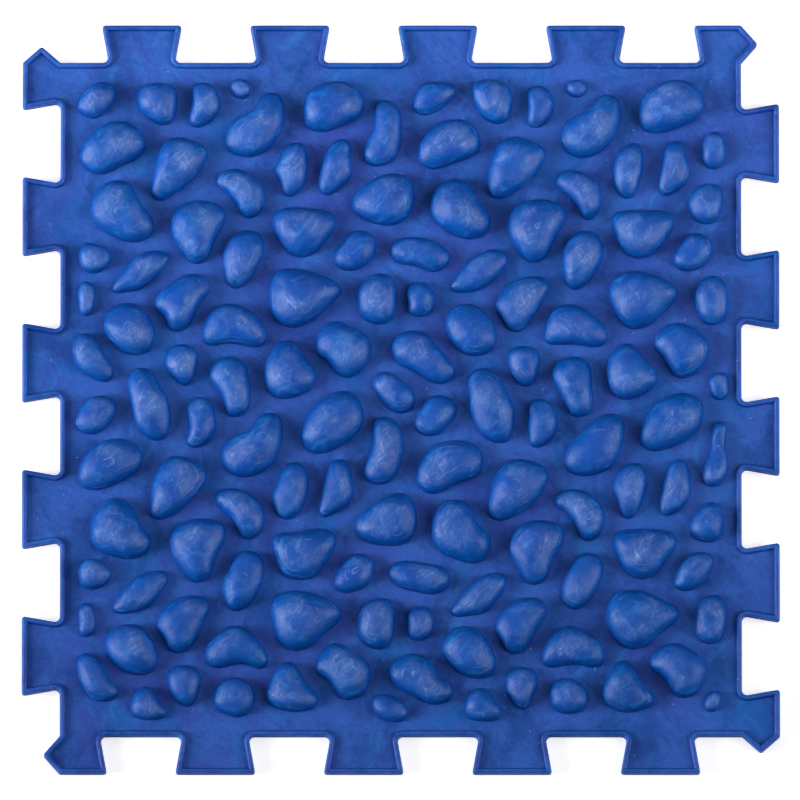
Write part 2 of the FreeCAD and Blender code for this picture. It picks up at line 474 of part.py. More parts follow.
def set_on_side(body, side, along):
    """Turn a piece to its side and move it to its place on the body's edge."""
    quarter = SIDES.index(side)
    body.Placement = Placement(Vector(), Rotation(UP, -QUARTER_TURN * quarter))
    out = f"{SIZES}.body_side / 2"
    places = (
        (f"({along})", f"({out})"),
        (f"({out})", f"-({along})"),
        (f"-({along})", f"-({out})"),
        (f"-({out})", f"({along})"),
    )
    for axis, place in zip("xy", places[quarter]):
        body.setExpression(f".Placement.Base.{axis}", place)


def corner_round(before, corner, after, radius):
    """Start, middle, end and centre of the arc that rounds a corner between two straight edges."""
    back = (before - corner).normalize()
    ahead = (after - corner).normalize()
    half_angle = back.getAngle(ahead) / 2
    inward = (back + ahead).normalize()
    run = radius / math.tan(half_angle)
    centre = corner + inward * (radius / math.sin(half_angle))
    return corner + back * run, centre - inward * radius, corner + ahead * run, centre


def mirrored(point):
    return Vector(-point.x, point.y, 0)


def arc_between(centre, radius, start, end):
    """Counterclockwise arc from start to end about the centre."""
    angles = [math.atan2(point.y - centre.y, point.x - centre.x) for point in (start, end)]
    return Part.ArcOfCircle(Part.Circle(centre, UP, radius), *angles)


def make_base_sheet(doc):
    """The square body between the four rows of tabs."""
    body, sketch = add_body(doc, "base_sheet")
    half = size(doc, "body_side") / 2
    corners = [Vector(half * x, half * y, 0) for x, y in ((-1, -1), (1, -1), (1, 1), (-1, 1))]
    add_lines(sketch, corners, closed=True)
    south, east, north, west = range(4)
    tie(sketch, "Horizontal", (south,), (north,))
    tie(sketch, "Vertical", (east,), (west,))
    tie(sketch, "Symmetric", (south, START_INDEX, north, START_INDEX, *ORIGIN))
    bind(sketch, f"{SIZES}.body_side", "DistanceX", south, START_INDEX, south, END_INDEX, 2 * half)
    bind(sketch, f"{SIZES}.body_side", "DistanceY", east, START_INDEX, east, END_INDEX, 2 * half)
    pad(body, sketch)
    return body


def make_tab(doc, side, number):
    """A dovetail tab, wider at its end, with rounded feet where it meets the body."""
    body, sketch = add_body(doc, f"tab_{side}_{number}")
    neck = Vector(size(doc, "tab_neck") / 2, 0, 0)
    end = Vector(size(doc, "tab_end") / 2, size(doc, "tab_reach"), 0)
    fillet = size(doc, "neck_fillet")
    foot, _, waist, centre = corner_round(neck * 2, neck, end, fillet)
    add_lines(sketch, [waist, end, mirrored(end), mirrored(waist)])
    sketch.addGeometry(arc_between(mirrored(centre), fillet, mirrored(foot), mirrored(waist)), False)
    sketch.addGeometry(Part.LineSegment(mirrored(foot), foot), False)
    sketch.addGeometry(arc_between(centre, fillet, waist, foot), False)
    sketch.addGeometry([Part.Point(neck), Part.Point(mirrored(neck))], True)
    right_flank, top, left_flank, left_foot, base, right_foot, right_neck, left_neck = range(8)
    tie(sketch, "Tangent", (left_flank, END_INDEX, left_foot, END_INDEX))
    tie(sketch, "Tangent", (left_foot, START_INDEX, base, START_INDEX))
    tie(sketch, "Tangent", (base, END_INDEX, right_foot, END_INDEX))
    tie(sketch, "Tangent", (right_foot, START_INDEX, right_flank, START_INDEX))
    tie(sketch, "PointOnObject", (base, START_INDEX, X_AXIS_INDEX), (base, END_INDEX, X_AXIS_INDEX))
    on_base = (right_neck, START_INDEX, X_AXIS_INDEX), (left_neck, START_INDEX, X_AXIS_INDEX)
    tie(sketch, "PointOnObject", *on_base)
    tie(sketch, "PointOnObject", (right_neck, START_INDEX, right_flank))
    tie(sketch, "PointOnObject", (left_neck, START_INDEX, left_flank))
    tie(sketch, "Symmetric", (top, START_INDEX, top, END_INDEX, Y_AXIS_INDEX))
    tie(sketch, "Equal", (left_foot, right_foot))
    bind(sketch, f"{SIZES}.tab_neck / 2", "DistanceX", *ORIGIN, right_neck, START_INDEX, neck.x)
    bind(sketch, f"{SIZES}.tab_neck / 2", "DistanceX", left_neck, START_INDEX, *ORIGIN, neck.x)
    bind(sketch, f"{SIZES}.tab_end", "DistanceX", top, END_INDEX, top, START_INDEX, 2 * end.x)
    bind(sketch, f"{SIZES}.tab_reach", "DistanceY", *ORIGIN, top, START_INDEX, end.y)
    bind(sketch, f"{SIZES}.neck_fillet", "Radius", right_foot, fillet)
    pad(body, sketch)
    round_corners(body, [end, mirrored(end)])
    set_on_side(body, side, f"{SIZES}.first_along + {SIZES}.tab_pitch * {number - 1}")
    return body


def make_corner_tab(doc, side):
    """The last tab of a side, with a point that reaches past the body's corner."""
    body, sketch = add_body(doc, f"corner_tab_{side}")
    reach = size(doc, "tab_reach")
    stub = Vector(size(doc, "corner_stub"), 0, 0)
    tip = stub + Vector(size(doc, "corner_tip_reach"), reach / 2, 0)
    shoulder = stub + Vector(0, reach, 0)
    neck = Vector(-size(doc, "tab_neck") / 2, 0, 0)
    end = Vector(-size(doc, "tab_end") / 2, reach, 0)
    fillet = size(doc, "neck_fillet")
    foot, _, waist, centre = corner_round(neck * 2, neck, end, fillet)
    add_lines(sketch, [foot, stub, tip, shoulder, end, waist])
    sketch.addGeometry(arc_between(centre, fillet, foot, waist), False)
    sketch.addGeometry(Part.Point(neck), True)
    base, lower_point, upper_point, top, left_flank, left_foot, left_neck = range(7)
    tie(sketch, "Tangent", (left_flank, END_INDEX, left_foot, END_INDEX))
    tie(sketch, "Tangent", (left_foot, START_INDEX, base, START_INDEX))
    tie(sketch, "PointOnObject", (base, START_INDEX, X_AXIS_INDEX), (base, END_INDEX, X_AXIS_INDEX))
    neck_ends = (left_neck, START_INDEX, X_AXIS_INDEX), (left_neck, START_INDEX, left_flank)
    tie(sketch, "PointOnObject", *neck_ends)
    tie(sketch, "Vertical", (base, END_INDEX, upper_point, END_INDEX))
    tie(sketch, "Horizontal", (top,))
    bind(sketch, f"{SIZES}.corner_stub", "DistanceX", *ORIGIN, base, END_INDEX, stub.x)
    tip_ends = (base, END_INDEX, lower_point, END_INDEX)
    bind(sketch, f"{SIZES}.corner_tip_reach", "DistanceX", *tip_ends, tip.x - stub.x)
    bind(sketch, f"{SIZES}.tab_reach / 2", "DistanceY", *ORIGIN, lower_point, END_INDEX, tip.y)
    bind(sketch, f"{SIZES}.tab_reach", "DistanceY", *ORIGIN, upper_point, END_INDEX, reach)
    bind(sketch, f"{SIZES}.tab_end / 2", "DistanceX", top, END_INDEX, *ORIGIN, -end.x)
    bind(sketch, f"{SIZES}.tab_neck / 2", "DistanceX", left_neck, START_INDEX, *ORIGIN, -neck.x)
    bind(sketch, f"{SIZES}.neck_fillet", "Radius", left_foot, fillet)
    pad(body, sketch)
    round_corners(body, [tip, shoulder, end])
    set_on_side(body, side, f"{SIZES}.corner_along")
    return body


def side_corners(doc):
    """The corners of the tile's outline along the north side, from left to right, each with its round."""
    half_body = Vector(size(doc, "body_side") / 2, 0, 0)
    half_neck = Vector(size(doc, "tab_neck") / 2, 0, 0)
    half_end = Vector(size(doc, "tab_end") / 2, 0, 0)
    reach = Vector(0, size(doc, "tab_reach"), 0)
    tip = Vector(size(doc, "corner_tip_reach"), 0, 0) + reach * 0.5
    neck_fillet = size(doc, "neck_fillet")
    corner_radius = size(doc, "tab_corner_round")
    corners = []
    for number in range(TABS_PER_SIDE + 1):
        tab = Vector(size(doc, "first_along") + size(doc, "tab_pitch") * number, 0, 0)
        corners += [(tab - half_neck, neck_fillet), (tab - half_end + reach, corner_radius)]
        if number < TABS_PER_SIDE:
            corners += [(tab + half_end + reach, corner_radius), (tab + half_neck, neck_fillet)]
    corners += [(half_body + reach, corner_radius), (half_body + tip, corner_radius), (half_body, 0)]
    return corners


def tile_outline(doc):
    """The closed outline of body and tabs: one side's corners turned to each of the four, then rounded."""
    out = Vector(0, size(doc, "body_side") / 2, 0)
    corners = []
    for quarter in range(len(SIDES)):
        turn = Rotation(UP, -QUARTER_TURN * quarter)
        corners += [(turn.multVec(corner + out), radius) for corner, radius in side_corners(doc)]
    edges = []
    here = corners[-1][0]
    for index, (corner, radius) in enumerate(corners):
        start = end = corner
        if radius:
            after = corners[(index + 1) % len(corners)][0]
            start, middle, end, _ = corner_round(here, corner, after, radius)
        edges.append(Part.LineSegment(here, start).toShape())
        if radius:
            edges.append(Part.Arc(start, middle, end).toShape())
        here = end
    return Part.Wire(edges)


def make_edge_rim(doc):
    """A bead with rounded upper edges that follows the whole outline of the tile."""
    outline = doc.addObject("Part::Feature", "tile_outline")
    outline.Shape = tile_outline(doc)
    outline.setExpression(".Placement.Base.z", f"{SIZES}.sheet_thickness")
    band = doc.addObject("Part::Offset2D", "rim_band")
    band.Source = outline
    band.Join = "Intersection"
    band.Fill = True
    band.setExpression("Value", f"-{SIZES}.rim_width")
    wall = doc.addObject("Part::Extrusion", "rim_wall")
    wall.Base = band
    wall.DirMode = "Custom"
    wall.Dir = UP
    wall.Solid = True
    wall.setExpression("LengthFwd", f"{SIZES}.rim_height")
    doc.recompute()
    rim = doc.addObject("Part::Fillet", "edge_rim")
    rim.Base = wall
    thinnest = min(size(doc, "rim_height"), size(doc, "rim_width") / 2)
    radius = min(size(doc, "rim_round"), thinnest * ROUND_WALL_SHARE)
    upper = wall.Shape.BoundBox.ZMax - radius
    rim.Edges = [
        (number, radius, radius)
        for number, edge in enumerate(wall.Shape.Edges, start=1)
        if edge.BoundBox.ZMin > upper
    ]
    return rim


def narrow_width(points):
    """Least distance between two parallel lines that hold the points between them."""
    widths = []
    for step in range(WIDTH_DIRECTIONS):
        angle = math.pi * step / WIDTH_DIRECTIONS
        reaches = [point.x * math.cos(angle) + point.y * math.sin(angle) for point in points]
        widths.append(max(reaches) - min(reaches))
    return min(widths)


def make_pebble(doc, shares):
    """One domed pebble: a loft through sections of its outline, drawn in towards the crown."""
    unit = size(doc, "body_side") * OUTLINE_UNIT_SHARE
    points = [Vector(across * unit, up * unit, 0) for across, up in zip(shares[0::2], shares[1::2])]
    fullness = min(1, narrow_width(points) / size(doc, "full_rise_width"))
    rise = size(doc, "pebble_rise") * fullness ** RISE_POWER_SHARE
    curve = Part.BSplineCurve()
    curve.interpolate(Points=points, PeriodicFlag=True)
    middle = Part.Face(Part.Wire(curve.toShape())).CenterOfMass
    sections = []
    for width_share, height_share in CROWN_SHARES:
        section = curve.copy()
        section.scale(middle, width_share)
        section.translate(Vector(0, 0, rise * height_share))
        sections.append(Part.Wire(section.toShape()))
    return Part.makeLoft(sections, True, False)


def make_pebbles(doc, label, outlines):
    """The pebbles of one form, one in each quarter of the tile or only in the two right or left ones."""
    feature = doc.addObject("Part::Feature", label)
    feature.Shape = Part.makeCompound([make_pebble(doc, shares) for shares in outlines])
    feature.setExpression(".Placement.Base.y", f"-{SIZES}.field_offset")
    feature.setExpression(".Placement.Base.z", f"{SIZES}.sheet_thickness")
    return feature


def make_tile():
    """The document with all its parts: sheet, tabs, rim and pebbles."""
    doc = FreeCAD.newDocument("sensory_mat_tile")
    fill_sheet(doc)
    parts = [make_base_sheet(doc)]
    for side in SIDES:
        parts.extend(make_tab(doc, side, number) for number in range(1, TABS_PER_SIDE + 1))
        parts.append(make_corner_tab(doc, side))
    parts.append(make_edge_rim(doc))
    parts.extend(make_pebbles(doc, label, outlines) for label, outlines in OUTLINE_SHARES.items())
    doc.recompute()
    return doc, parts


def check(doc, parts):
    """Stop if any object of the document failed or any part of the tile is not a sound solid."""
    for item in doc.Objects:
        if "Invalid" in item.State or "Error" in item.State:
            raise RuntimeError(f"{item.Label} failed: {item.State}")
    for part in parts:
        if part.Shape.isNull() or not part.Shape.isValid() or not part.Shape.Solids:
            raise RuntimeError(f"{part.Label} has no valid solid")
        print(part.Label, len(part.Shape.Solids), round(part.Shape.Volume, 1))


def export(parts):
    os.makedirs("parts", exist_ok=True)
    for part in parts:
        part.Shape.exportStep(f"parts/{part.Label}.step")


document, tile_parts = make_tile()
check(document, tile_parts)
export(tile_parts)
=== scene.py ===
# Sensory mat tile: a square of soft PVC with raised pebbles and dovetail tabs, from above on white.
import math

import bmesh
import bpy
import numpy as np
from bpy.props import FloatProperty, FloatVectorProperty, IntProperty, PointerProperty
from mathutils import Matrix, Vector


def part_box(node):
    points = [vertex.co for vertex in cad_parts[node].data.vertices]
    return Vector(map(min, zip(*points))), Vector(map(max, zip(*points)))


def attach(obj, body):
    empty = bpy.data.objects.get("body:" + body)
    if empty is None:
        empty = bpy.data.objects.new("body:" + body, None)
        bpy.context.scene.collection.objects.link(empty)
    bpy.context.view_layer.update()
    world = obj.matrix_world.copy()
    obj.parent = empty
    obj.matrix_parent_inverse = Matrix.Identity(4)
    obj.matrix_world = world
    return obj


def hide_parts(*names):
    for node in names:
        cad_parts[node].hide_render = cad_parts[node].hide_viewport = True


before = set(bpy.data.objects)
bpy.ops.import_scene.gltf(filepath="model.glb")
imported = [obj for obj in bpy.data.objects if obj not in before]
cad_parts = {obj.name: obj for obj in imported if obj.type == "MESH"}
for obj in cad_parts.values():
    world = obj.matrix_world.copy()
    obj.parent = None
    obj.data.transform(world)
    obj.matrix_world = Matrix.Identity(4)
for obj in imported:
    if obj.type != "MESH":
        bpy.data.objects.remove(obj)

bl_info = {
    "name": "Sensory mat tile",
    "version": (1, 0, 0),
    "blender": (4, 5, 0),
    "location": "3D View > Sidebar > Mat tile",
    "description": "Raises the pebbles and the edge bead of a sensory mat tile, in satin PVC",
    "category": "Object",
}

MM = 0.001
PICTURE_WIDTH = 800  # pixels
BODY = "root"
SHEET_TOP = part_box("base_sheet")[1].z
RIM_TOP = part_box("edge_rim")[1].z
PEBBLE_NODES = sorted(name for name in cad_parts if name.startswith("pebbles_"))
TAB_NODES = sorted(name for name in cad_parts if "tab_" in name)
ON_PLANE = 0.001 * MM  # what lies closer than this is in one plane, or in one place

LEAST_SPOKES = 24
RING_CROWDING = 1.6  # power that draws a pebble's rings towards its foot, where it is steepest
HEM_REACH = 1.6  # flare widths from the foot out to the hem that is sunk in the sheet
CORNER_TURN = 0.01  # sine of the least turn at a point of a rounded corner

GLOSS_DRIFT = 0.06  # how far the roughness wanders either way
SCUFF_ROUGHNESS = 0.25  # how much rougher a fully scuffed place is
DUST_SHARE = 0.3  # how much of a dusty patch shows between the strokes in it
ARC_SPACING = 0.15  # share of the swell between a worn arc and the clear place beside it
# Painted shade in the crease at a foot, a navy line standing for the shadow there: the attribute
# that finds it, the attribute's value where the shade starts and where it is fullest, and how full
# it gets.
PEBBLE_CREASE_SHADE = {"attribute": "fill", "start": 0.12, "fullest": 0.0, "most": 0.6}
BEAD_CREASE_SHADE = {"attribute": "turn", "start": 0.6, "fullest": 0.85, "most": 0.85}

FLOOR_DROP = 0.2 * MM  # gap between the tile and the floor, so that no two faces share a plane
SHADOW_EDGE = 200 * MM  # from the tile's middle; the floor starts to whiten there
ALL_WHITE = 500 * MM  # from the tile's middle; the floor is plain white from there on
CLIP_REACH = 4  # how many times the distance to the tile the camera sees
# Softboxes: name, azimuth clockwise from the far side, and slant from straight above, in degrees.
SIDE_SOFTBOXES = (("low_left", 270, 70), ("low_right", 90, 70), ("high_right", 90, 45))
FAR_SOFTBOX = ("far", 0, 30)


def from_hex(code):
    """An sRGB hex colour as linear red, green and blue."""
    parts = [int(code[place:place + 2], 16) / 255 for place in (1, 3, 5)]
    return [part / 12.92 if part <= 0.04045 else ((part + 0.055) / 1.055) ** 2.4 for part in parts]


def length(name, description, default):
    return FloatProperty(
        name=name, description=description, default=default, unit="LENGTH", precision=5
    )


def angle(name, description, degrees):
    return FloatProperty(
        name=name, description=description, default=math.radians(degrees), subtype="ANGLE"
    )


def share(name, description, default):
    return FloatProperty(name=name, description=description, default=default, subtype="FACTOR")


def colour(name, description, code):
    return FloatVectorProperty(
        name=name, description=description, default=from_hex(code), subtype="COLOR"
    )


def power(name, default):
    return FloatProperty(
        name=name, description="Power of this lamp", default=default, unit="POWER"
    )


def count(name, description, default):
    return IntProperty(name=name, description=description, default=default)


class PebbleSettings(bpy.types.PropertyGroup):
    """Sizes of the raised pebbles."""

    fullness: share(
        "Crown fullness", "Power of the swell: lower is flatter on top, steeper at the foot", 0.44
    )
    spoke_step: length("Spoke step", "Distance between two points along a foot outline", 0.9 * MM)
    rings: count("Rings", "Rings of faces from the foot to the crown", 14)
    flare: length("Foot flare", "Width of the small round at the foot", 0.18 * MM)
    flare_lift: length("Flare lift", "Height of the small round at the foot", 0.3 * MM)
    skirt: length("Skirt", "Depth to which the foot runs into the sheet", 0.12 * MM)
    undulation: share(
        "Undulation", "Share of the rise by which hollows fall short of an even swell", 0.12
    )
    undulation_size: length("Undulation size", "Width of one soft hollow", 11 * MM)
    seed: count("Seed", "Which soft hollows the pebbles have", 4)


class BeadSettings(bpy.types.PropertyGroup):
    """Sizes of the round bead along the edge."""

    width: length("Bead width", "Width of the bead", 2.0 * MM)
    height: length("Bead height", "Height of the bead above the sheet", RIM_TOP - SHEET_TOP)
    squareness: share(
        "Squareness", "Power of the round: 1 is a half circle, lower is squarer", 0.85
    )
    section_step: length(
        "Section step", "Distance between two sections on the straight edges", 1.5 * MM
    )
    stations: count("Stations", "Points across the bead", 12)
    skirt: length("Skirt", "Depth to which the bead runs into the sheet", 0.15 * MM)
    tuck: share("Tuck", "How much narrower the bead is below the sheet's surface", 0.08)
    undulation: length("Undulation", "How far the moulded bead dips", 0.2 * MM)
    undulation_size: length("Undulation size", "Length of one soft wave", 16 * MM)
    seed: count("Seed", "Which soft waves the bead has", 9)


class PvcSettings(bpy.types.PropertyGroup):
    """Colours and sizes of the marbled PVC."""

    blue: colour("Blue", "Main colour of the moulding", "#004CAF")
    film: colour("Film", "Blue of the sheet and tabs, where a film of dust settled", "#2D5BBC")
    violet: colour("Violet", "Clouds that lean to violet", "#2F48AC")
    teal: colour("Teal", "Clouds that lean to green", "#005BB5")
    navy: colour("Navy", "Darker clouds", "#00378D")
    # Partly the clean blue of the pebbles' sides, partly painted shade that darkens their steep
    # flanks.
    clean_and_shaded_flank: colour("Flank", "Clean sides of the pebbles", "#004B9F")
    wisp: colour("Wisp", "Pale smoky swirls in the mix", "#2685DA")
    crown: colour("Crown", "Blue of the worn crowns", "#124FAE")
    scuff: colour("Scuff", "Rubbed places on the crowns", "#98B6EA")
    speck: colour("Speck", "Dust and tiny nicks", "#CDBBD0")
    cloud_size: length("Cloud size", "Width of one cloud of colour", 34 * MM)
    wisp_size: length("Wisp size", "Width of one smoky swirl", 5 * MM)
    grain_size: length("Grain size", "Fine grain of the mould, drawn coarser than it is", 0.5 * MM)
    roughness: share(
        "Roughness", "Roughness of the pebbles and the bead, rubbed smooth by feet", 0.38
    )
    ground_roughness: share(
        "Ground roughness", "Roughness of the sheet and tabs, as the blasted mould left them", 0.64
    )


class StageSettings(bpy.types.PropertyGroup):
    """Camera, floor and lamps."""

    tilt: angle("Tilt", "How far the camera leans towards the near side", 8.9)
    distance: length("Distance", "Camera to tile", 12.0)
    pixels_per_metre: FloatProperty(
        name="Pixels per metre", description="Scale of the picture across the tile", default=2878.0
    )
    aside: length("Aside", "How far left of the tile's middle the camera aims", 0.29 * MM)
    below: length(
        "Below", "How far on the near side of the tile's middle the camera aims", 0.57 * MM
    )
    floor_size: length("Floor size", "Side of the pale floor", 6.0)
    floor_lift: share(
        "Floor lift", "How much the camera's view of the floor is lifted towards white", 0.6
    )
    low_left: power("Low left softbox", 6.6)
    low_right: power("Low right softbox", 2.6)
    high_right: power("High right softbox", 1.3)
    far: power("Far softbox", 3.6)
    lamp_distance: length("Lamp distance", "Each softbox to the middle of the tile", 1.5)
    lamp_size: length("Lamp size", "Side of a softbox", 0.9)
    spread: angle("Spread", "How wide the grids let the side softboxes shine", 60)
    lead: length(
        "Lead", "How far past the middle the side softboxes aim, so the near side fades", 0.35
    )
    sky: share("Sky", "Strength of the even light from all round", 0.01)


def feed(tree, socket, value):
    """Give an input a value, or link a socket to it, or the first output of a node."""
    if isinstance(value, bpy.types.Node):
        value = next(output for output in value.outputs if output.enabled)
    if isinstance(value, bpy.types.NodeSocket):
        tree.links.new(value, socket)
    else:
        socket.default_value = value


def node(tree, kind, inputs=None, **settings):
    """Add a node with its settings, and feed its inputs by name or by place."""
    made = tree.nodes.new(kind)
    for name, value in settings.items():
        setattr(made, name, value)
    named = {socket.name: socket for socket in reversed(made.inputs) if socket.enabled}
    for key, value in (inputs or {}).items():
        feed(tree, made.inputs[key] if isinstance(key, int) else named[key], value)
    return made


def patches(tree, place, size, low, high, most=1.0, least=0.0, seed=0.0, crispness=0.5):
    """Soft patches as wide as size: least where their noise is under low, most where over high."""
    field = {"Vector": place, "W": seed, "Scale": 1 / size, "Detail": 7.0, "Roughness": crispness}
    cloud = node(tree, "ShaderNodeTexNoise", field, noise_dimensions="4D")
    span = {"Value": cloud, "From Min": low, "From Max": high, "To Min": least, "To Max": most}
    return node(tree, "ShaderNodeMapRange", span, interpolation_type="SMOOTHSTEP")


def strokes(tree, place, width, stretch, degrees, low, high, most=1.0, seed=0.0):
    """Patches drawn out along one direction, like strokes of a brush as wide as width."""
    turn = {"Vector": place, "Angle": math.radians(degrees)}
    turned = node(tree, "ShaderNodeVectorRotate", turn)
    squeeze = {0: turned, 1: (1.0, 1 / stretch, 1.0)}
    drawn = node(tree, "ShaderNodeVectorMath", squeeze, operation="MULTIPLY")
    return patches(tree, drawn, width, low, high, most, seed=seed, crispness=0.6)


def stirred(tree, place, size, amount, seed):
    """The place, pushed about by noise, so that a pattern read there looks stirred."""
    field = {"Vector": place, "W": seed, "Scale": 1 / size, "Detail": 2.0}
    push = node(tree, "ShaderNodeTexNoise", field, noise_dimensions="4D").outputs["Color"]
    centre = {0: push, 1: (0.5, 0.5, 0.5)}
    centred = node(tree, "ShaderNodeVectorMath", centre, operation="SUBTRACT")
    scale = {"Vector": centred, "Scale": amount}
    scaled = node(tree, "ShaderNodeVectorMath", scale, operation="SCALE")
    return node(tree, "ShaderNodeVectorMath", {0: place, 1: scaled}, operation="ADD")


def painted(tree, under, layers):
    """Tints laid over a colour one after another, each as strongly as its amount says."""
    for amount, tint in layers:
        layer = {"Factor": amount, "A": under, "B": (*tint, 1)}
        under = node(tree, "ShaderNodeMix", layer, data_type="RGBA")
    return under


def marbled_colour(tree, place, pvc, ground, dusty):
    """Violet, teal and navy clouds in the ground, and pale swirls where two batches met."""
    flow = stirred(tree, place, size=pvc.cloud_size, amount=38 * MM, seed=3.0)
    curl = stirred(tree, flow, size=16 * MM, amount=14 * MM, seed=11.0)
    violet = patches(
        tree, flow, pvc.cloud_size, low=0.44, high=0.66, most=dusty, seed=1.0, crispness=0.62
    )
    teal = patches(
        tree, flow, pvc.cloud_size * 0.6, low=0.48, high=0.7, seed=5.0, crispness=0.6
    )
    navy = patches(
        tree, flow, pvc.cloud_size * 0.8, low=0.44, high=0.66, most=0.85, seed=7.0, crispness=0.68
    )
    smoky = patches(tree, place, 26 * MM, low=0.4, high=0.62, most=0.5, least=0.12, seed=13.0)
    swirls = strokes(
        tree, curl, pvc.wisp_size, stretch=4, degrees=35, low=0.46, high=0.74, most=smoky, seed=9.0
    )
    streaks = strokes(
        tree, curl, 2.4 * MM, stretch=3, degrees=-50, low=0.46, high=0.7, most=0.45, seed=15.0
    )
    pale = patches(
        tree, place, 1.4 * MM, low=0.46, high=0.7, most=0.34, seed=19.0, crispness=0.85
    )
    dark = patches(tree, place, 1.1 * MM, low=0.5, high=0.74, most=0.4, seed=23.0, crispness=0.85)
    clouds = ((violet, pvc.violet), (teal, pvc.teal), (navy, pvc.navy))
    wisps = ((swirls, pvc.wisp), (streaks, pvc.navy), (pale, pvc.wisp), (dark, pvc.navy))
    return painted(tree, (*ground, 1), clouds + wisps)


def specks(tree, place):
    """Rare small specks: dust that was moulded in, and nicks."""
    field = {"Vector": place, "Scale": 1 / (4.5 * MM)}
    cells = node(tree, "ShaderNodeTexVoronoi", field, voronoi_dimensions="2D")
    parts = node(tree, "ShaderNodeSeparateColor", {0: cells.outputs["Color"]})
    few = {"Value": parts, "From Min": 0.94, "From Max": 1.0, "To Max": 0.6}
    few = node(tree, "ShaderNodeMapRange", few)
    dot = {"Value": cells.outputs["Distance"], "From Min": 0.07, "From Max": 0.03, "To Max": few}
    return node(tree, "ShaderNodeMapRange", dot, interpolation_type="SMOOTHSTEP")


def worn_arcs(tree, place, fill):
    """Thin pale arcs that run along some shoulders, where the swell reaches certain shares."""
    wander = patches(tree, place, 14 * MM, low=0.3, high=0.7, most=0.3, seed=25.0)
    along = node(tree, "ShaderNodeMath", {0: fill, 1: wander}, operation="ADD")
    off = node(tree, "ShaderNodeMath", {0: along, 1: ARC_SPACING}, operation="PINGPONG")
    somewhere = patches(tree, place, 6 * MM, low=0.54, high=0.64, most=0.36, seed=29.0)
    arcs = {"Value": off, "From Min": 0.024, "From Max": 0.0, "To Max": somewhere}
    return node(tree, "ShaderNodeMapRange", arcs, interpolation_type="SMOOTHSTEP")


def rubbed_crowns(tree, place, fill):
    """Dusty patches, fine crossing strokes and small scuffs on the crowns, and worn arcs."""
    loose = stirred(tree, place, size=14 * MM, amount=10 * MM, seed=17.0)
    crown = {"Value": fill, "From Min": 0.25, "From Max": 0.8, "To Max": 0.45}
    crown = node(tree, "ShaderNodeMapRange", crown)
    dusty = patches(tree, loose, 9 * MM, low=0.4, high=0.68, most=crown, seed=21.0)
    fine = strokes(
        tree, loose, 0.8 * MM, stretch=7, degrees=40, low=0.46, high=0.74, most=dusty, seed=2.0
    )
    cross = strokes(
        tree, loose, 0.9 * MM, stretch=6, degrees=-25, low=0.5, high=0.76, most=dusty, seed=6.0
    )
    small = patches(
        tree, loose, 1.5 * MM, low=0.6, high=0.7, most=dusty, seed=27.0, crispness=0.8
    )
    dust = {0: dusty, 1: DUST_SHARE, 2: fine}
    rubbed = node(tree, "ShaderNodeMath", dust, operation="MULTIPLY_ADD")
    for layer in (cross, small):
        rubbed = node(tree, "ShaderNodeMath", {0: rubbed, 1: layer}, operation="ADD")
    both = {0: rubbed, 1: worn_arcs(tree, place, fill)}
    return node(tree, "ShaderNodeMath", both, operation="MAXIMUM")


def pebble_tints(tree, place, fill, pvc):
    """Worn blue on the crowns, on each pebble by its own share, clean flanks darkened with painted
    shade, and pale swirls.
    """
    own = node(tree, "ShaderNodeAttribute", attribute_name="own").outputs["Fac"]
    own = node(tree, "ShaderNodeMapRange", {"Value": own, "To Min": 0.3, "To Max": 0.95})
    worn = {"Value": fill, "From Min": 0.3, "From Max": 0.9, "To Max": own}
    worn = node(tree, "ShaderNodeMapRange", worn)
    # Clean sides, and painted shade: the flank colour darkens each pebble from its foot up its
    # swell.
    clean_and_shaded = {"Value": fill, "From Min": 0.15, "From Max": 0.7, "To Min": 1.0, "To Max": 0.0}
    clean_and_shaded = node(tree, "ShaderNodeMapRange", clean_and_shaded)
    curl = stirred(tree, place, size=12 * MM, amount=14 * MM, seed=33.0)
    swirl = strokes(
        tree, curl, pvc.wisp_size * 0.5, stretch=4, degrees=60, low=0.5, high=0.72, most=0.5,
        seed=37.0,
    )
    return (worn, pvc.crown), (clean_and_shaded, pvc.clean_and_shaded_flank), (swirl, pvc.wisp)


def moulded_bumps(tree, place, pvc):
    """The fine grain of the blasted mould over soft sags of the surface."""
    grain = patches(tree, place, pvc.grain_size, low=0.2, high=0.8, seed=40.0, crispness=0.6)
    sag = patches(tree, place, 7 * MM, low=0.2, high=0.8, seed=44.0, crispness=0.4)
    fine = {"Height": grain, "Strength": 0.7, "Distance": 0.13 * MM}
    fine = node(tree, "ShaderNodeBump", fine)
    broad = {"Height": sag, "Strength": 0.6, "Distance": 0.5 * MM, "Normal": fine}
    return node(tree, "ShaderNodeBump", broad)


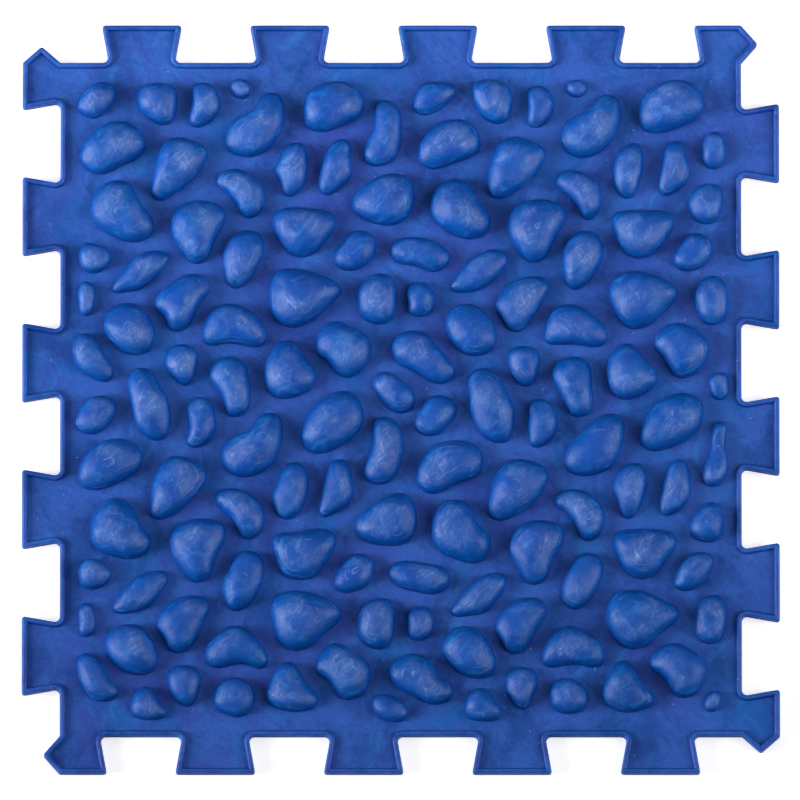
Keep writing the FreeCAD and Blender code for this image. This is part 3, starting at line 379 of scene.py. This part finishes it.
def satin_pvc(name, pvc, roughness, crease_shade=None, pebbled=False):
    """Marbled PVC for the flat ground and the bead, or with rubbed crowns for the pebbles."""
    # Soft PVC, set from paste in a blasted steel mould. It gives the eye an even satin sheen, a
    # fine grain and faint marbling, with a few specks.
    material = bpy.data.materials.new(name)
    material.use_nodes = True
    tree = material.node_tree
    place = node(tree, "ShaderNodeTexCoord").outputs["Object"]
    ground, dusty = (pvc.blue, 0.3) if pebbled else (pvc.film, 1.0)
    mixed = marbled_colour(tree, place, pvc, ground, dusty)
    layers = [(specks(tree, place), pvc.speck)]
    gloss = patches(
        tree, place, 20 * MM, low=0.3, high=0.7, most=roughness + GLOSS_DRIFT,
        least=roughness - GLOSS_DRIFT, seed=31.0,
    )
    if pebbled:
        fill = node(tree, "ShaderNodeAttribute", attribute_name="fill").outputs["Fac"]
        wear = rubbed_crowns(tree, place, fill)
        layers += [*pebble_tints(tree, place, fill, pvc), (wear, pvc.scuff)]
        duller = {0: wear, 1: SCUFF_ROUGHNESS, 2: gloss}
        gloss = node(tree, "ShaderNodeMath", duller, operation="MULTIPLY_ADD")
    # Painted shade: navy laid over the colour along the crease at a foot, where the shadow falls.
    if crease_shade:
        near = node(tree, "ShaderNodeAttribute", attribute_name=crease_shade["attribute"]).outputs["Fac"]
        painted_crease_shade = {
            "Value": near, "From Min": crease_shade["start"], "From Max": crease_shade["fullest"],
            "To Max": crease_shade["most"],
        }
        layers.append((node(tree, "ShaderNodeMapRange", painted_crease_shade), pvc.navy))
    finish = {
        "Base Color": painted(tree, mixed, layers),
        "Roughness": gloss,
        "Normal": moulded_bumps(tree, place, pvc),
        "IOR": 1.5,
        "Specular IOR Level": 0.3,
    }
    for key, value in finish.items():
        feed(tree, tree.nodes["Principled BSDF"].inputs[key], value)
    return material


def dress(name, material):
    """Give a CAD node its material; its mesh stays as it is."""
    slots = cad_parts[name].data.materials
    slots.clear()
    slots.append(material)


def new_tree(name, labels):
    """A shape tree with a geometry input, a number input for each label and a material input."""
    tree = bpy.data.node_groups.new(name, "GeometryNodeTree")
    tree.interface.new_socket("Geometry", in_out="INPUT", socket_type="NodeSocketGeometry")
    for label in labels:
        tree.interface.new_socket(label, in_out="INPUT", socket_type="NodeSocketFloat")
    tree.interface.new_socket("Material", in_out="INPUT", socket_type="NodeSocketMaterial")
    tree.interface.new_socket("Geometry", in_out="OUTPUT", socket_type="NodeSocketGeometry")
    return tree, tree.nodes.new("NodeGroupInput").outputs


def finish_tree(tree, geometry, material):
    """Smooth shading, real geometry, the material and the way out."""
    smooth = node(tree, "GeometryNodeSetShadeSmooth", {"Geometry": geometry})
    real = node(tree, "GeometryNodeRealizeInstances", {"Geometry": smooth})
    dressed = node(tree, "GeometryNodeSetMaterial", {"Geometry": real, "Material": material})
    node(tree, "NodeGroupOutput", {"Geometry": dressed})


def soft_dips(tree, place, size, seed, depth):
    """Soft noise from 0 to depth."""
    finer = node(tree, "ShaderNodeMath", {0: 1.0, 1: size}, operation="DIVIDE")
    field = {"Vector": place, "W": seed, "Scale": finer, "Detail": 1.0}
    cloud = node(tree, "ShaderNodeTexNoise", field, noise_dimensions="4D")
    span = {"Value": cloud, "From Min": 0.3, "From Max": 0.7, "To Max": depth}
    return node(tree, "ShaderNodeMapRange", span, interpolation_type="SMOOTHSTEP")


def pebble_tree():
    """Lifts a flat pebble mesh: rise times fill to the power of fullness, less soft hollows."""
    labels = ("Sheet top", "Fullness", "Undulation", "Undulation size", "Seed")
    tree, given = new_tree("Raise pebbles", labels)
    place = node(tree, "GeometryNodeInputPosition")
    fill, rise, foot = (
        node(tree, "GeometryNodeInputNamedAttribute", {"Name": name}, data_type="FLOAT")
        for name in ("fill", "rise", "foot")
    )
    swell = node(tree, "ShaderNodeMath", {0: fill, 1: given["Fullness"]}, operation="POWER")
    hollow = soft_dips(tree, place, given["Undulation size"], given["Seed"], given["Undulation"])
    kept = node(tree, "ShaderNodeMath", {0: 1.0, 1: hollow}, operation="SUBTRACT")
    swell = node(tree, "ShaderNodeMath", {0: swell, 1: kept}, operation="MULTIPLY")
    height = node(tree, "ShaderNodeMath", {0: swell, 1: rise, 2: foot}, operation="MULTIPLY_ADD")
    height = node(tree, "ShaderNodeMath", {0: height, 1: given["Sheet top"]}, operation="ADD")
    lift = node(tree, "ShaderNodeCombineXYZ", {"Z": height})
    raised = {"Geometry": given["Geometry"], "Offset": lift}
    raised = node(tree, "GeometryNodeSetPosition", raised)
    finish_tree(tree, raised, given["Material"])
    return tree


def bead_tree():
    """Rolls a ribbon of points along the outline into a bead with a rounded back."""
    labels = (
        "Sheet top", "Width", "Height", "Squareness", "Undulation", "Undulation size", "Seed",
    )
    tree, given = new_tree("Roll bead", labels)
    place = node(tree, "GeometryNodeInputPosition")
    turn, foot, reach = (
        node(tree, "GeometryNodeInputNamedAttribute", {"Name": name}, data_type="FLOAT")
        for name in ("turn", "foot", "reach")
    )
    mitre = {"Name": "mitre"}
    mitre = node(tree, "GeometryNodeInputNamedAttribute", mitre, data_type="FLOAT_VECTOR")
    half_turn = node(tree, "ShaderNodeMath", {0: turn, 1: math.pi}, operation="MULTIPLY")
    swings = []
    for operation in ("COSINE", "SINE"):
        swing = node(tree, "ShaderNodeMath", {0: half_turn}, operation=operation)
        size = node(tree, "ShaderNodeMath", {0: swing}, operation="ABSOLUTE")
        squared = {0: size, 1: given["Squareness"]}
        squared = node(tree, "ShaderNodeMath", squared, operation="POWER")
        sign = node(tree, "ShaderNodeMath", {0: swing}, operation="SIGN")
        swings.append(node(tree, "ShaderNodeMath", {0: sign, 1: squared}, operation="MULTIPLY"))
    across, up = swings
    beside = node(tree, "ShaderNodeMath", {0: across, 1: reach}, operation="MULTIPLY")
    half = node(tree, "ShaderNodeMath", {0: given["Width"], 1: 0.5}, operation="MULTIPLY")
    inward = node(tree, "ShaderNodeMath", {0: 1.0, 1: beside}, operation="SUBTRACT")
    inward = node(tree, "ShaderNodeMath", {0: inward, 1: half}, operation="MULTIPLY")
    dip = soft_dips(tree, place, given["Undulation size"], given["Seed"], given["Undulation"])
    tall = node(tree, "ShaderNodeMath", {0: given["Height"], 1: dip}, operation="SUBTRACT")
    height = node(tree, "ShaderNodeMath", {0: up, 1: tall, 2: foot}, operation="MULTIPLY_ADD")
    height = node(tree, "ShaderNodeMath", {0: height, 1: given["Sheet top"]}, operation="ADD")
    sideways = {"Vector": mitre, "Scale": inward}
    sideways = node(tree, "ShaderNodeVectorMath", sideways, operation="SCALE")
    lift = node(tree, "ShaderNodeCombineXYZ", {"Z": height})
    moved = node(tree, "ShaderNodeVectorMath", {0: sideways, 1: lift}, operation="ADD")
    rolled = {"Geometry": given["Geometry"], "Offset": moved}
    rolled = node(tree, "GeometryNodeSetPosition", rolled)
    joined = {"Geometry": rolled, "Distance": ON_PLANE}
    joined = node(tree, "GeometryNodeMergeByDistance", joined)
    finish_tree(tree, joined, given["Material"])
    return tree


def shaped_by(tree, name, mesh, values):
    """The piece that a tree makes of a mesh, as a plain mesh on an object of its own."""
    source = bpy.data.objects.new(name + "_source", mesh)
    bpy.context.scene.collection.objects.link(source)
    modifier = source.modifiers.new("Shape", "NODES")
    modifier.node_group = tree
    for item in tree.interface.items_tree:
        if item.in_out == "INPUT" and item.name in values:
            modifier[item.identifier] = values[item.name]
    graph = bpy.context.evaluated_depsgraph_get()
    made = bpy.data.meshes.new_from_object(
        source.evaluated_get(graph), preserve_all_data_layers=True, depsgraph=graph
    )
    source.modifiers.remove(modifier)
    bpy.data.objects.remove(source)
    made.name = name
    piece = bpy.data.objects.new(name, made)
    bpy.context.scene.collection.objects.link(piece)
    return piece


def loops_on_sheet(name):
    """The closed outlines, counterclockwise, along which a node's solids stand on the sheet."""
    shape = bmesh.new()
    shape.from_mesh(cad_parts[name].data)
    bmesh.ops.remove_doubles(shape, verts=shape.verts, dist=ON_PLANE)
    flat = (
        face for face in shape.faces
        if all(abs(vert.co.z - SHEET_TOP) < ON_PLANE for vert in face.verts)
    )
    feet = dict.fromkeys(flat)  # a dict keeps the mesh's own order, which a set would not
    after = {}
    for face in feet:
        for loop in face.loops:
            if any(other not in feet for other in loop.edge.link_faces):
                after[loop.link_loop_next.vert] = loop.vert
    outlines = []
    while after:
        start, here = after.popitem()
        points = [start.co.xy[:]]
        while here is not start:
            points.append(here.co.xy[:])
            here = after.pop(here)
        outlines.append(np.array(points))
    shape.free()
    return outlines


def area_of(points):
    """Signed area, positive when the points run counterclockwise."""
    following = np.roll(points, -1, axis=0)
    return float((points[:, 0] * following[:, 1] - following[:, 0] * points[:, 1]).sum() / 2)


def middle_of(points):
    """Centre of the area inside a closed outline."""
    following = np.roll(points, -1, axis=0)
    cross = points[:, 0] * following[:, 1] - following[:, 0] * points[:, 1]
    return ((points + following) * cross[:, None]).sum(0) / (6 * area_of(points))


def evenly_spaced(points, step):
    """The same outline with points about a step apart, a little smoothed."""
    closed = np.vstack([points, points[:1]])
    run = np.concatenate([[0], np.cumsum(np.linalg.norm(np.diff(closed, axis=0), axis=1))])
    spokes = max(LEAST_SPOKES, round(run[-1] / step))
    places = np.linspace(0, run[-1], spokes, endpoint=False)
    even = np.column_stack([np.interp(places, run, closed[:, axis]) for axis in (0, 1)])
    return (np.roll(even, 1, axis=0) + 2 * even + np.roll(even, -1, axis=0)) / 4


def outward_of(points):
    """Unit vectors away from the inside of a counterclockwise outline."""
    along = np.roll(points, -1, axis=0) - np.roll(points, 1, axis=0)
    along /= np.linalg.norm(along, axis=1)[:, None]
    return np.column_stack([along[:, 1], -along[:, 0]])


def soap_film(points, triangles, held):
    """How high a film over the outline swells under even pressure: 0 at the border, 1 at most."""
    size = len(points)
    pull = np.zeros((size, size))
    push = np.zeros(size)
    for corner in range(3):  # each corner ties the two others together by its cotangent
        here, left, right = (triangles[:, (corner + turn) % 3] for turn in range(3))
        to_left, to_right = points[left] - points[here], points[right] - points[here]
        double_area = np.abs(to_left[:, 0] * to_right[:, 1] - to_left[:, 1] * to_right[:, 0])
        weight = (to_left * to_right).sum(1) / double_area / 2
        for first, second in ((left, right), (right, left)):
            np.add.at(pull, (first, second), -weight)
            np.add.at(pull, (first, first), weight)
        np.add.at(push, here, double_area / 6)
    free = ~held
    film = np.zeros(size)
    film[free] = np.linalg.solve(pull[np.ix_(free, free)], push[free])
    return film / film.max()


def pebble_mesh(outline, rise, own, settings):
    """Points, faces, attributes and hard points of one flat pebble: rings, and a foot below."""
    foot = evenly_spaced(outline, settings.spoke_step)
    spokes = len(foot)
    middle = middle_of(foot)
    outward = outward_of(foot)
    rings = [
        middle + (foot - middle) * (1 - (ring / settings.rings) ** RING_CROWDING)
        for ring in range(settings.rings)
    ]
    points = np.vstack([*rings, [middle]])
    crown = len(points) - 1
    spoke = np.arange(spokes)
    beside = (spoke + 1) % spokes
    last = crown - spokes
    triangles = [np.column_stack([last + spoke, last + beside, np.full(spokes, crown)])]
    faces = [tuple(face) for face in triangles[0]]
    flare, hem = len(points), len(points) + spokes
    bands = [(ring * spokes, (ring + 1) * spokes) for ring in range(settings.rings - 1)]
    for low, high in bands:
        triangles.append(np.column_stack([low + spoke, low + beside, high + beside]))
        triangles.append(np.column_stack([low + spoke, high + beside, high + spoke]))
    for low, high in (*bands, (flare, 0), (hem, flare)):
        band = np.column_stack([low + spoke, low + beside, high + beside, high + spoke])
        faces += [tuple(face) for face in band]
    faces.append(tuple(hem + spoke[::-1]))
    held = np.arange(len(points)) < spokes
    fill = soap_film(points, np.vstack(triangles), held)
    fill = np.concatenate([fill, np.zeros(2 * spokes)])
    flared, hemmed = (foot + outward * settings.flare * reach for reach in (1, HEM_REACH))
    points = np.vstack([points, flared, hemmed])
    lift = np.full(len(points), settings.flare_lift)
    lift[flare:hem] = 0
    lift[hem:] = -settings.skirt
    rise, own = (np.full(len(points), value) for value in (rise - settings.flare_lift, own))
    return points, faces, {"fill": fill, "rise": rise, "foot": lift, "own": own}, lift <= 0


def flat_mesh(name, parts):
    """One flat mesh from sets of points, faces, attributes and marks for points on hard edges."""
    points, faces = [], []
    for places, local_faces, _, _ in parts:
        faces += [tuple(int(corner) + len(points) for corner in face) for face in local_faces]
        points += [(x, y, 0) for x, y in places]
    mesh = bpy.data.meshes.new(name)
    mesh.from_pydata(points, [], faces)
    for key in parts[0][2]:
        values = np.concatenate([attributes[key] for _, _, attributes, _ in parts])
        kind, field = ("FLOAT_VECTOR", "vector") if values.ndim > 1 else ("FLOAT", "value")
        mesh.attributes.new(key, kind, "POINT").data.foreach_set(field, values.ravel())
    hard = np.concatenate([marks for _, _, _, marks in parts])
    ends = np.array([edge.vertices[:] for edge in mesh.edges])
    sharp = mesh.attributes.new("sharp_edge", "BOOLEAN", "EDGE")
    sharp.data.foreach_set("value", hard[ends].all(1))
    return mesh


def crown_heights(name, outlines):
    """How far each of a node's solids rises above the sheet."""
    middles = np.array([middle_of(outline) for outline in outlines])
    tops = np.zeros(len(outlines))
    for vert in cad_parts[name].data.vertices:
        nearest = np.linalg.norm(middles - vert.co.xy, axis=1).argmin()
        tops[nearest] = max(tops[nearest], vert.co.z - SHEET_TOP)
    return tops


def with_sections(points, step):
    """The same outline with extra points along its straight edges."""
    dense = []
    for here, ahead in zip(points, np.roll(points, -1, axis=0)):
        pieces = max(1, round(np.linalg.norm(ahead - here) / step))
        dense += [here + (ahead - here) * piece / pieces for piece in range(pieces)]
    return np.array(dense)


def inner_line(points, width):
    """Each outline point's place on the bead's inner line, mitred where the corners stand out."""
    ahead = np.roll(points, -1, axis=0) - points
    ahead /= np.linalg.norm(ahead, axis=1)[:, None]
    behind = np.roll(ahead, 1, axis=0)
    left = np.column_stack([-ahead[:, 1], ahead[:, 0]])
    both = left + np.roll(left, 1, axis=0)
    inner = points + both * width / (1 + (left * np.roll(left, 1, axis=0)).sum(1))[:, None]
    turning = behind[:, 0] * ahead[:, 1] - behind[:, 1] * ahead[:, 0] > CORNER_TURN
    size = len(points)
    # Inside a round tighter than the bead is wide, the inner line would cross itself, so every
    # point that lands beyond the mitre goes to the mitre.
    for first in np.flatnonzero(turning & ~np.roll(turning, 1)):
        last = first
        while turning[(last + 1) % size]:
            last += 1
        last %= size
        start, finish = behind[first], ahead[last]
        entry = points[first] + left[first - 1] * width
        gap = points[last] + left[last] * width - entry
        crossing = start[0] * finish[1] - start[1] * finish[0]
        mitre = entry + start * ((gap[0] * finish[1] - gap[1] * finish[0]) / crossing)
        place = first
        while (inner[place] - mitre) @ start > -ON_PLANE:
            inner[place] = mitre
            place -= 1
        place = (first + 1) % size
        while turning[place] or (inner[place] - mitre) @ finish < ON_PLANE:
            inner[place] = mitre
            place = (place + 1) % size
    return inner


def bead_mesh(outline, settings):
    """Points, faces, attributes and hard points of the unrolled bead, each section in one place."""
    outer = with_sections(outline, settings.section_step)
    sections, stations = len(outer), settings.stations + 2
    station = np.arange(stations)
    below = station >= settings.stations
    turn = np.concatenate([np.linspace(0, 1, settings.stations), [1, 0]])
    mitre = (inner_line(outer, settings.width) - outer) / settings.width
    mitre = np.column_stack([mitre, np.zeros(sections)])
    values = {
        "mitre": np.repeat(mitre, stations, axis=0),
        "turn": np.tile(turn, sections),
        "foot": np.tile(np.where(below, -settings.skirt, 0.0), sections),
        "reach": np.tile(np.where(below, 1 - settings.tuck, 1.0), sections),
    }
    faces = []
    for section in range(sections):
        here, there = section * stations, (section + 1) % sections * stations
        for low in range(stations):
            high = (low + 1) % stations
            faces.append((here + low, there + low, there + high, here + high))
    foot = below | (station == 0) | (station == settings.stations - 1)
    return np.repeat(outer, stations, axis=0), faces, values, np.tile(foot, sections)


def ride_and_slot(piece, slot, *nodes):
    """Let a finished piece ride on the tile, in place of CAD nodes; the slot is not used."""
    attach(piece, BODY)
    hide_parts(*nodes)


class MATTILE_OT_sheet(bpy.types.Operator):
    """Dress the flat square sheet in marbled satin PVC"""

    bl_idname = "mattile.sheet"
    bl_label = "Dress sheet"

    def execute(self, context):
        pvc = context.scene.mat_pvc
        # PVC as the blasted mould left it, under a film of dust: a broad dull sheen, paler blue.
        dress("base_sheet", satin_pvc("satin PVC sheet", pvc, pvc.ground_roughness))
        return {"FINISHED"}


class MATTILE_OT_tabs(bpy.types.Operator):
    """Dress the dovetail and corner tabs in the same PVC as the sheet"""

    bl_idname = "mattile.tabs"
    bl_label = "Dress tabs"

    def execute(self, context):
        pvc = context.scene.mat_pvc
        # PVC as the blasted mould left it, like the sheet: a broad dull sheen and paler blue.
        material = satin_pvc("satin PVC tabs", pvc, pvc.ground_roughness)
        for name in TAB_NODES:
            dress(name, material)
        return {"FINISHED"}


class MATTILE_OT_bead(bpy.types.Operator):
    """Roll the bead that follows the whole edge"""

    bl_idname = "mattile.bead"
    bl_label = "Roll bead"

    def execute(self, context):
        settings, pvc = context.scene.mat_bead, context.scene.mat_pvc
        # PVC rubbed smoother than the sheet: a thin line of light, and painted shade, a navy line,
        # along its inner foot.
        material = satin_pvc("satin PVC bead", pvc, pvc.roughness, BEAD_CREASE_SHADE)
        values = {
            "Sheet top": SHEET_TOP, "Width": settings.width, "Height": settings.height,
            "Squareness": settings.squareness, "Undulation": settings.undulation,
            "Undulation size": settings.undulation_size, "Seed": float(settings.seed),
            "Material": material,
        }
        outline = max(loops_on_sheet("edge_rim"), key=area_of)
        flat = flat_mesh("edge_bead", [bead_mesh(outline, settings)])
        piece = shaped_by(bead_tree(), "edge_bead", flat, values)
        ride_and_slot(piece, "rim_pvc", "edge_rim")
        return {"FINISHED"}


class MATTILE_OT_pebbles(bpy.types.Operator):
    """Raise the pebbles, one piece for each form"""

    bl_idname = "mattile.pebbles"
    bl_label = "Raise pebbles"

    def execute(self, context):
        settings, pvc = context.scene.mat_pebbles, context.scene.mat_pvc
        # PVC that feet have rubbed: glossier, with clean deep blue flanks, darkened further by
        # painted shade, under dusty crowns, and painted shade in the crease at each foot.
        material = satin_pvc("satin PVC pebbles", pvc, pvc.roughness, PEBBLE_CREASE_SHADE, pebbled=True)
        values = {
            "Sheet top": SHEET_TOP, "Fullness": settings.fullness,
            "Undulation": settings.undulation, "Undulation size": settings.undulation_size,
            "Seed": float(settings.seed), "Material": material,
        }
        tree = pebble_tree()
        chance = np.random.default_rng(settings.seed)
        for name in PEBBLE_NODES:
            outlines = loops_on_sheet(name)
            rises = crown_heights(name, outlines)
            owns = chance.random(len(outlines))
            parts = [pebble_mesh(*pebble, settings) for pebble in zip(outlines, rises, owns)]
            raised = name.replace("pebbles_", "raised_")
            piece = shaped_by(tree, raised, flat_mesh(raised, parts), values)
            ride_and_slot(piece, "pebble_pvc", name)
        return {"FINISHED"}


class MATTILE_OT_stage(bpy.types.Operator):
    """Set the pale floor, the softboxes and the camera"""

    bl_idname = "mattile.stage"
    bl_label = "Set stage"

    def execute(self, context):
        stage = context.scene.mat_stage
        make_floor(stage)
        light_sky(context.scene, stage)
        for lamp in SIDE_SOFTBOXES:
            softbox(stage, *lamp, stage.spread, stage.lead)
        softbox(stage, *FAR_SOFTBOX, spread=math.pi, lead=0)
        aim_camera(context.scene, stage)
        context.scene.view_settings.view_transform = "Standard"
        return {"FINISHED"}


def make_floor(stage):
    """A pale floor under the tile, white to the camera but for the tile's soft shadow."""
    # Matt coated card: no sheen at all, so the eye finds only the shadow. Past the shadow it
    # glows fully white to the camera, because the softboxes' light ends there.
    material = bpy.data.materials.new("matt white backdrop card")
    material.use_nodes = True
    tree = material.node_tree
    shader = tree.nodes["Principled BSDF"]
    feed(tree, shader.inputs["Base Color"], (*from_hex("#E8E8E8"), 1))
    feed(tree, shader.inputs["Roughness"], 0.9)
    seen = node(tree, "ShaderNodeLightPath").outputs["Is Camera Ray"]
    away = {0: node(tree, "ShaderNodeTexCoord").outputs["Object"]}
    away = node(tree, "ShaderNodeVectorMath", away, operation="LENGTH").outputs["Value"]
    lift = {
        "Value": away, "From Min": SHADOW_EDGE, "From Max": ALL_WHITE,
        "To Min": stage.floor_lift, "To Max": 1.0,
    }
    lift = {0: seen, 1: node(tree, "ShaderNodeMapRange", lift)}
    lift = node(tree, "ShaderNodeMath", lift, operation="MULTIPLY")
    glow = node(tree, "ShaderNodeEmission", {"Strength": lift})
    both = node(tree, "ShaderNodeAddShader", {0: shader, 1: glow})
    feed(tree, tree.nodes["Material Output"].inputs["Surface"], both)
    half = stage.floor_size / 2
    corners = [(x * half, y * half, -FLOOR_DROP) for x, y in ((-1, -1), (1, -1), (1, 1), (-1, 1))]
    mesh = bpy.data.meshes.new("floor")
    mesh.from_pydata(corners, [], [(0, 1, 2, 3)])
    mesh.materials.append(material)
    floor = bpy.data.objects.new("floor", mesh)
    bpy.context.scene.collection.objects.link(floor)


def light_sky(scene, stage):
    """Even light from all round; the camera sees plain white there."""
    # The tile has no metal or glass, so no glossy or transmission ray needs a white of its own.
    world = bpy.data.worlds.new("studio")
    world.use_nodes = True
    tree = world.node_tree
    seen = node(tree, "ShaderNodeLightPath").outputs["Is Camera Ray"]
    strength = {"Value": seen, "To Min": stage.sky, "To Max": 1.0}
    strength = node(tree, "ShaderNodeMapRange", strength)
    sky = tree.nodes["Background"]
    feed(tree, sky.inputs["Color"], (1, 1, 1, 1))
    feed(tree, sky.inputs["Strength"], strength)
    scene.world = world


def softbox(stage, name, azimuth, slant, spread, lead):
    """A square lamp as strong as the setting of its name, aimed lead beyond the middle."""
    lamp = bpy.data.lights.new(name, "AREA")
    lamp.shape = "SQUARE"
    lamp.size = stage.lamp_size
    lamp.spread = spread
    lamp.energy = getattr(stage, name)
    turn, lean = math.radians(azimuth), math.radians(slant)
    across = math.sin(lean)
    toward = Vector((across * math.sin(turn), across * math.cos(turn), math.cos(lean)))
    holder = bpy.data.objects.new(name + "_softbox", lamp)
    holder.location = toward * stage.lamp_distance
    aim = Vector((0, lead, 0)) - holder.location
    holder.rotation_euler = aim.to_track_quat("-Z", "Y").to_euler()
    bpy.context.scene.collection.objects.link(holder)


def aim_camera(scene, stage):
    """A long lens from nearly straight above, leaning a little towards the near side."""
    lens = bpy.data.cameras.new("camera")
    lens.lens = stage.pixels_per_metre * stage.distance * lens.sensor_width / PICTURE_WIDTH
    lens.clip_end = stage.distance * CLIP_REACH
    camera = bpy.data.objects.new("camera", lens)
    camera.rotation_euler = (stage.tilt, 0, 0)
    camera.location = (
        -stage.aside,
        -math.sin(stage.tilt) * stage.distance - stage.below,
        math.cos(stage.tilt) * stage.distance + RIM_TOP,
    )
    scene.collection.objects.link(camera)
    scene.camera = camera


class MATTILE_PT_panel(bpy.types.Panel):
    """The steps that build the tile, and their settings"""

    bl_idname = "MATTILE_PT_panel"
    bl_label = "Mat tile"
    bl_space_type = "VIEW_3D"
    bl_region_type = "UI"
    bl_category = "Mat tile"

    def draw(self, context):
        for step in STEPS:
            self.layout.operator(step.bl_idname)
        for name, group in SETTINGS.items():
            box = self.layout.box()
            for setting in group.__annotations__:
                box.prop(getattr(context.scene, name), setting)


SETTINGS = {
    "mat_pebbles": PebbleSettings,
    "mat_bead": BeadSettings,
    "mat_pvc": PvcSettings,
    "mat_stage": StageSettings,
}
STEPS = (
    MATTILE_OT_sheet, MATTILE_OT_tabs, MATTILE_OT_bead, MATTILE_OT_pebbles, MATTILE_OT_stage,
)


def register():
    for name, group in SETTINGS.items():
        bpy.utils.register_class(group)
        setattr(bpy.types.Scene, name, PointerProperty(type=group))
    for kind in (*STEPS, MATTILE_PT_panel):
        bpy.utils.register_class(kind)


def unregister():
    for kind in (MATTILE_PT_panel, *reversed(STEPS)):
        bpy.utils.unregister_class(kind)
    for name, group in SETTINGS.items():
        delattr(bpy.types.Scene, name)
        bpy.utils.unregister_class(group)


def main():
    """Build the tile step by step."""
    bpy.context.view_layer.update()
    register()
    bpy.ops.mattile.sheet()
    bpy.ops.mattile.tabs()
    bpy.ops.mattile.bead()
    bpy.ops.mattile.pebbles()
    bpy.ops.mattile.stage()


if __name__ == "__main__":
    main()
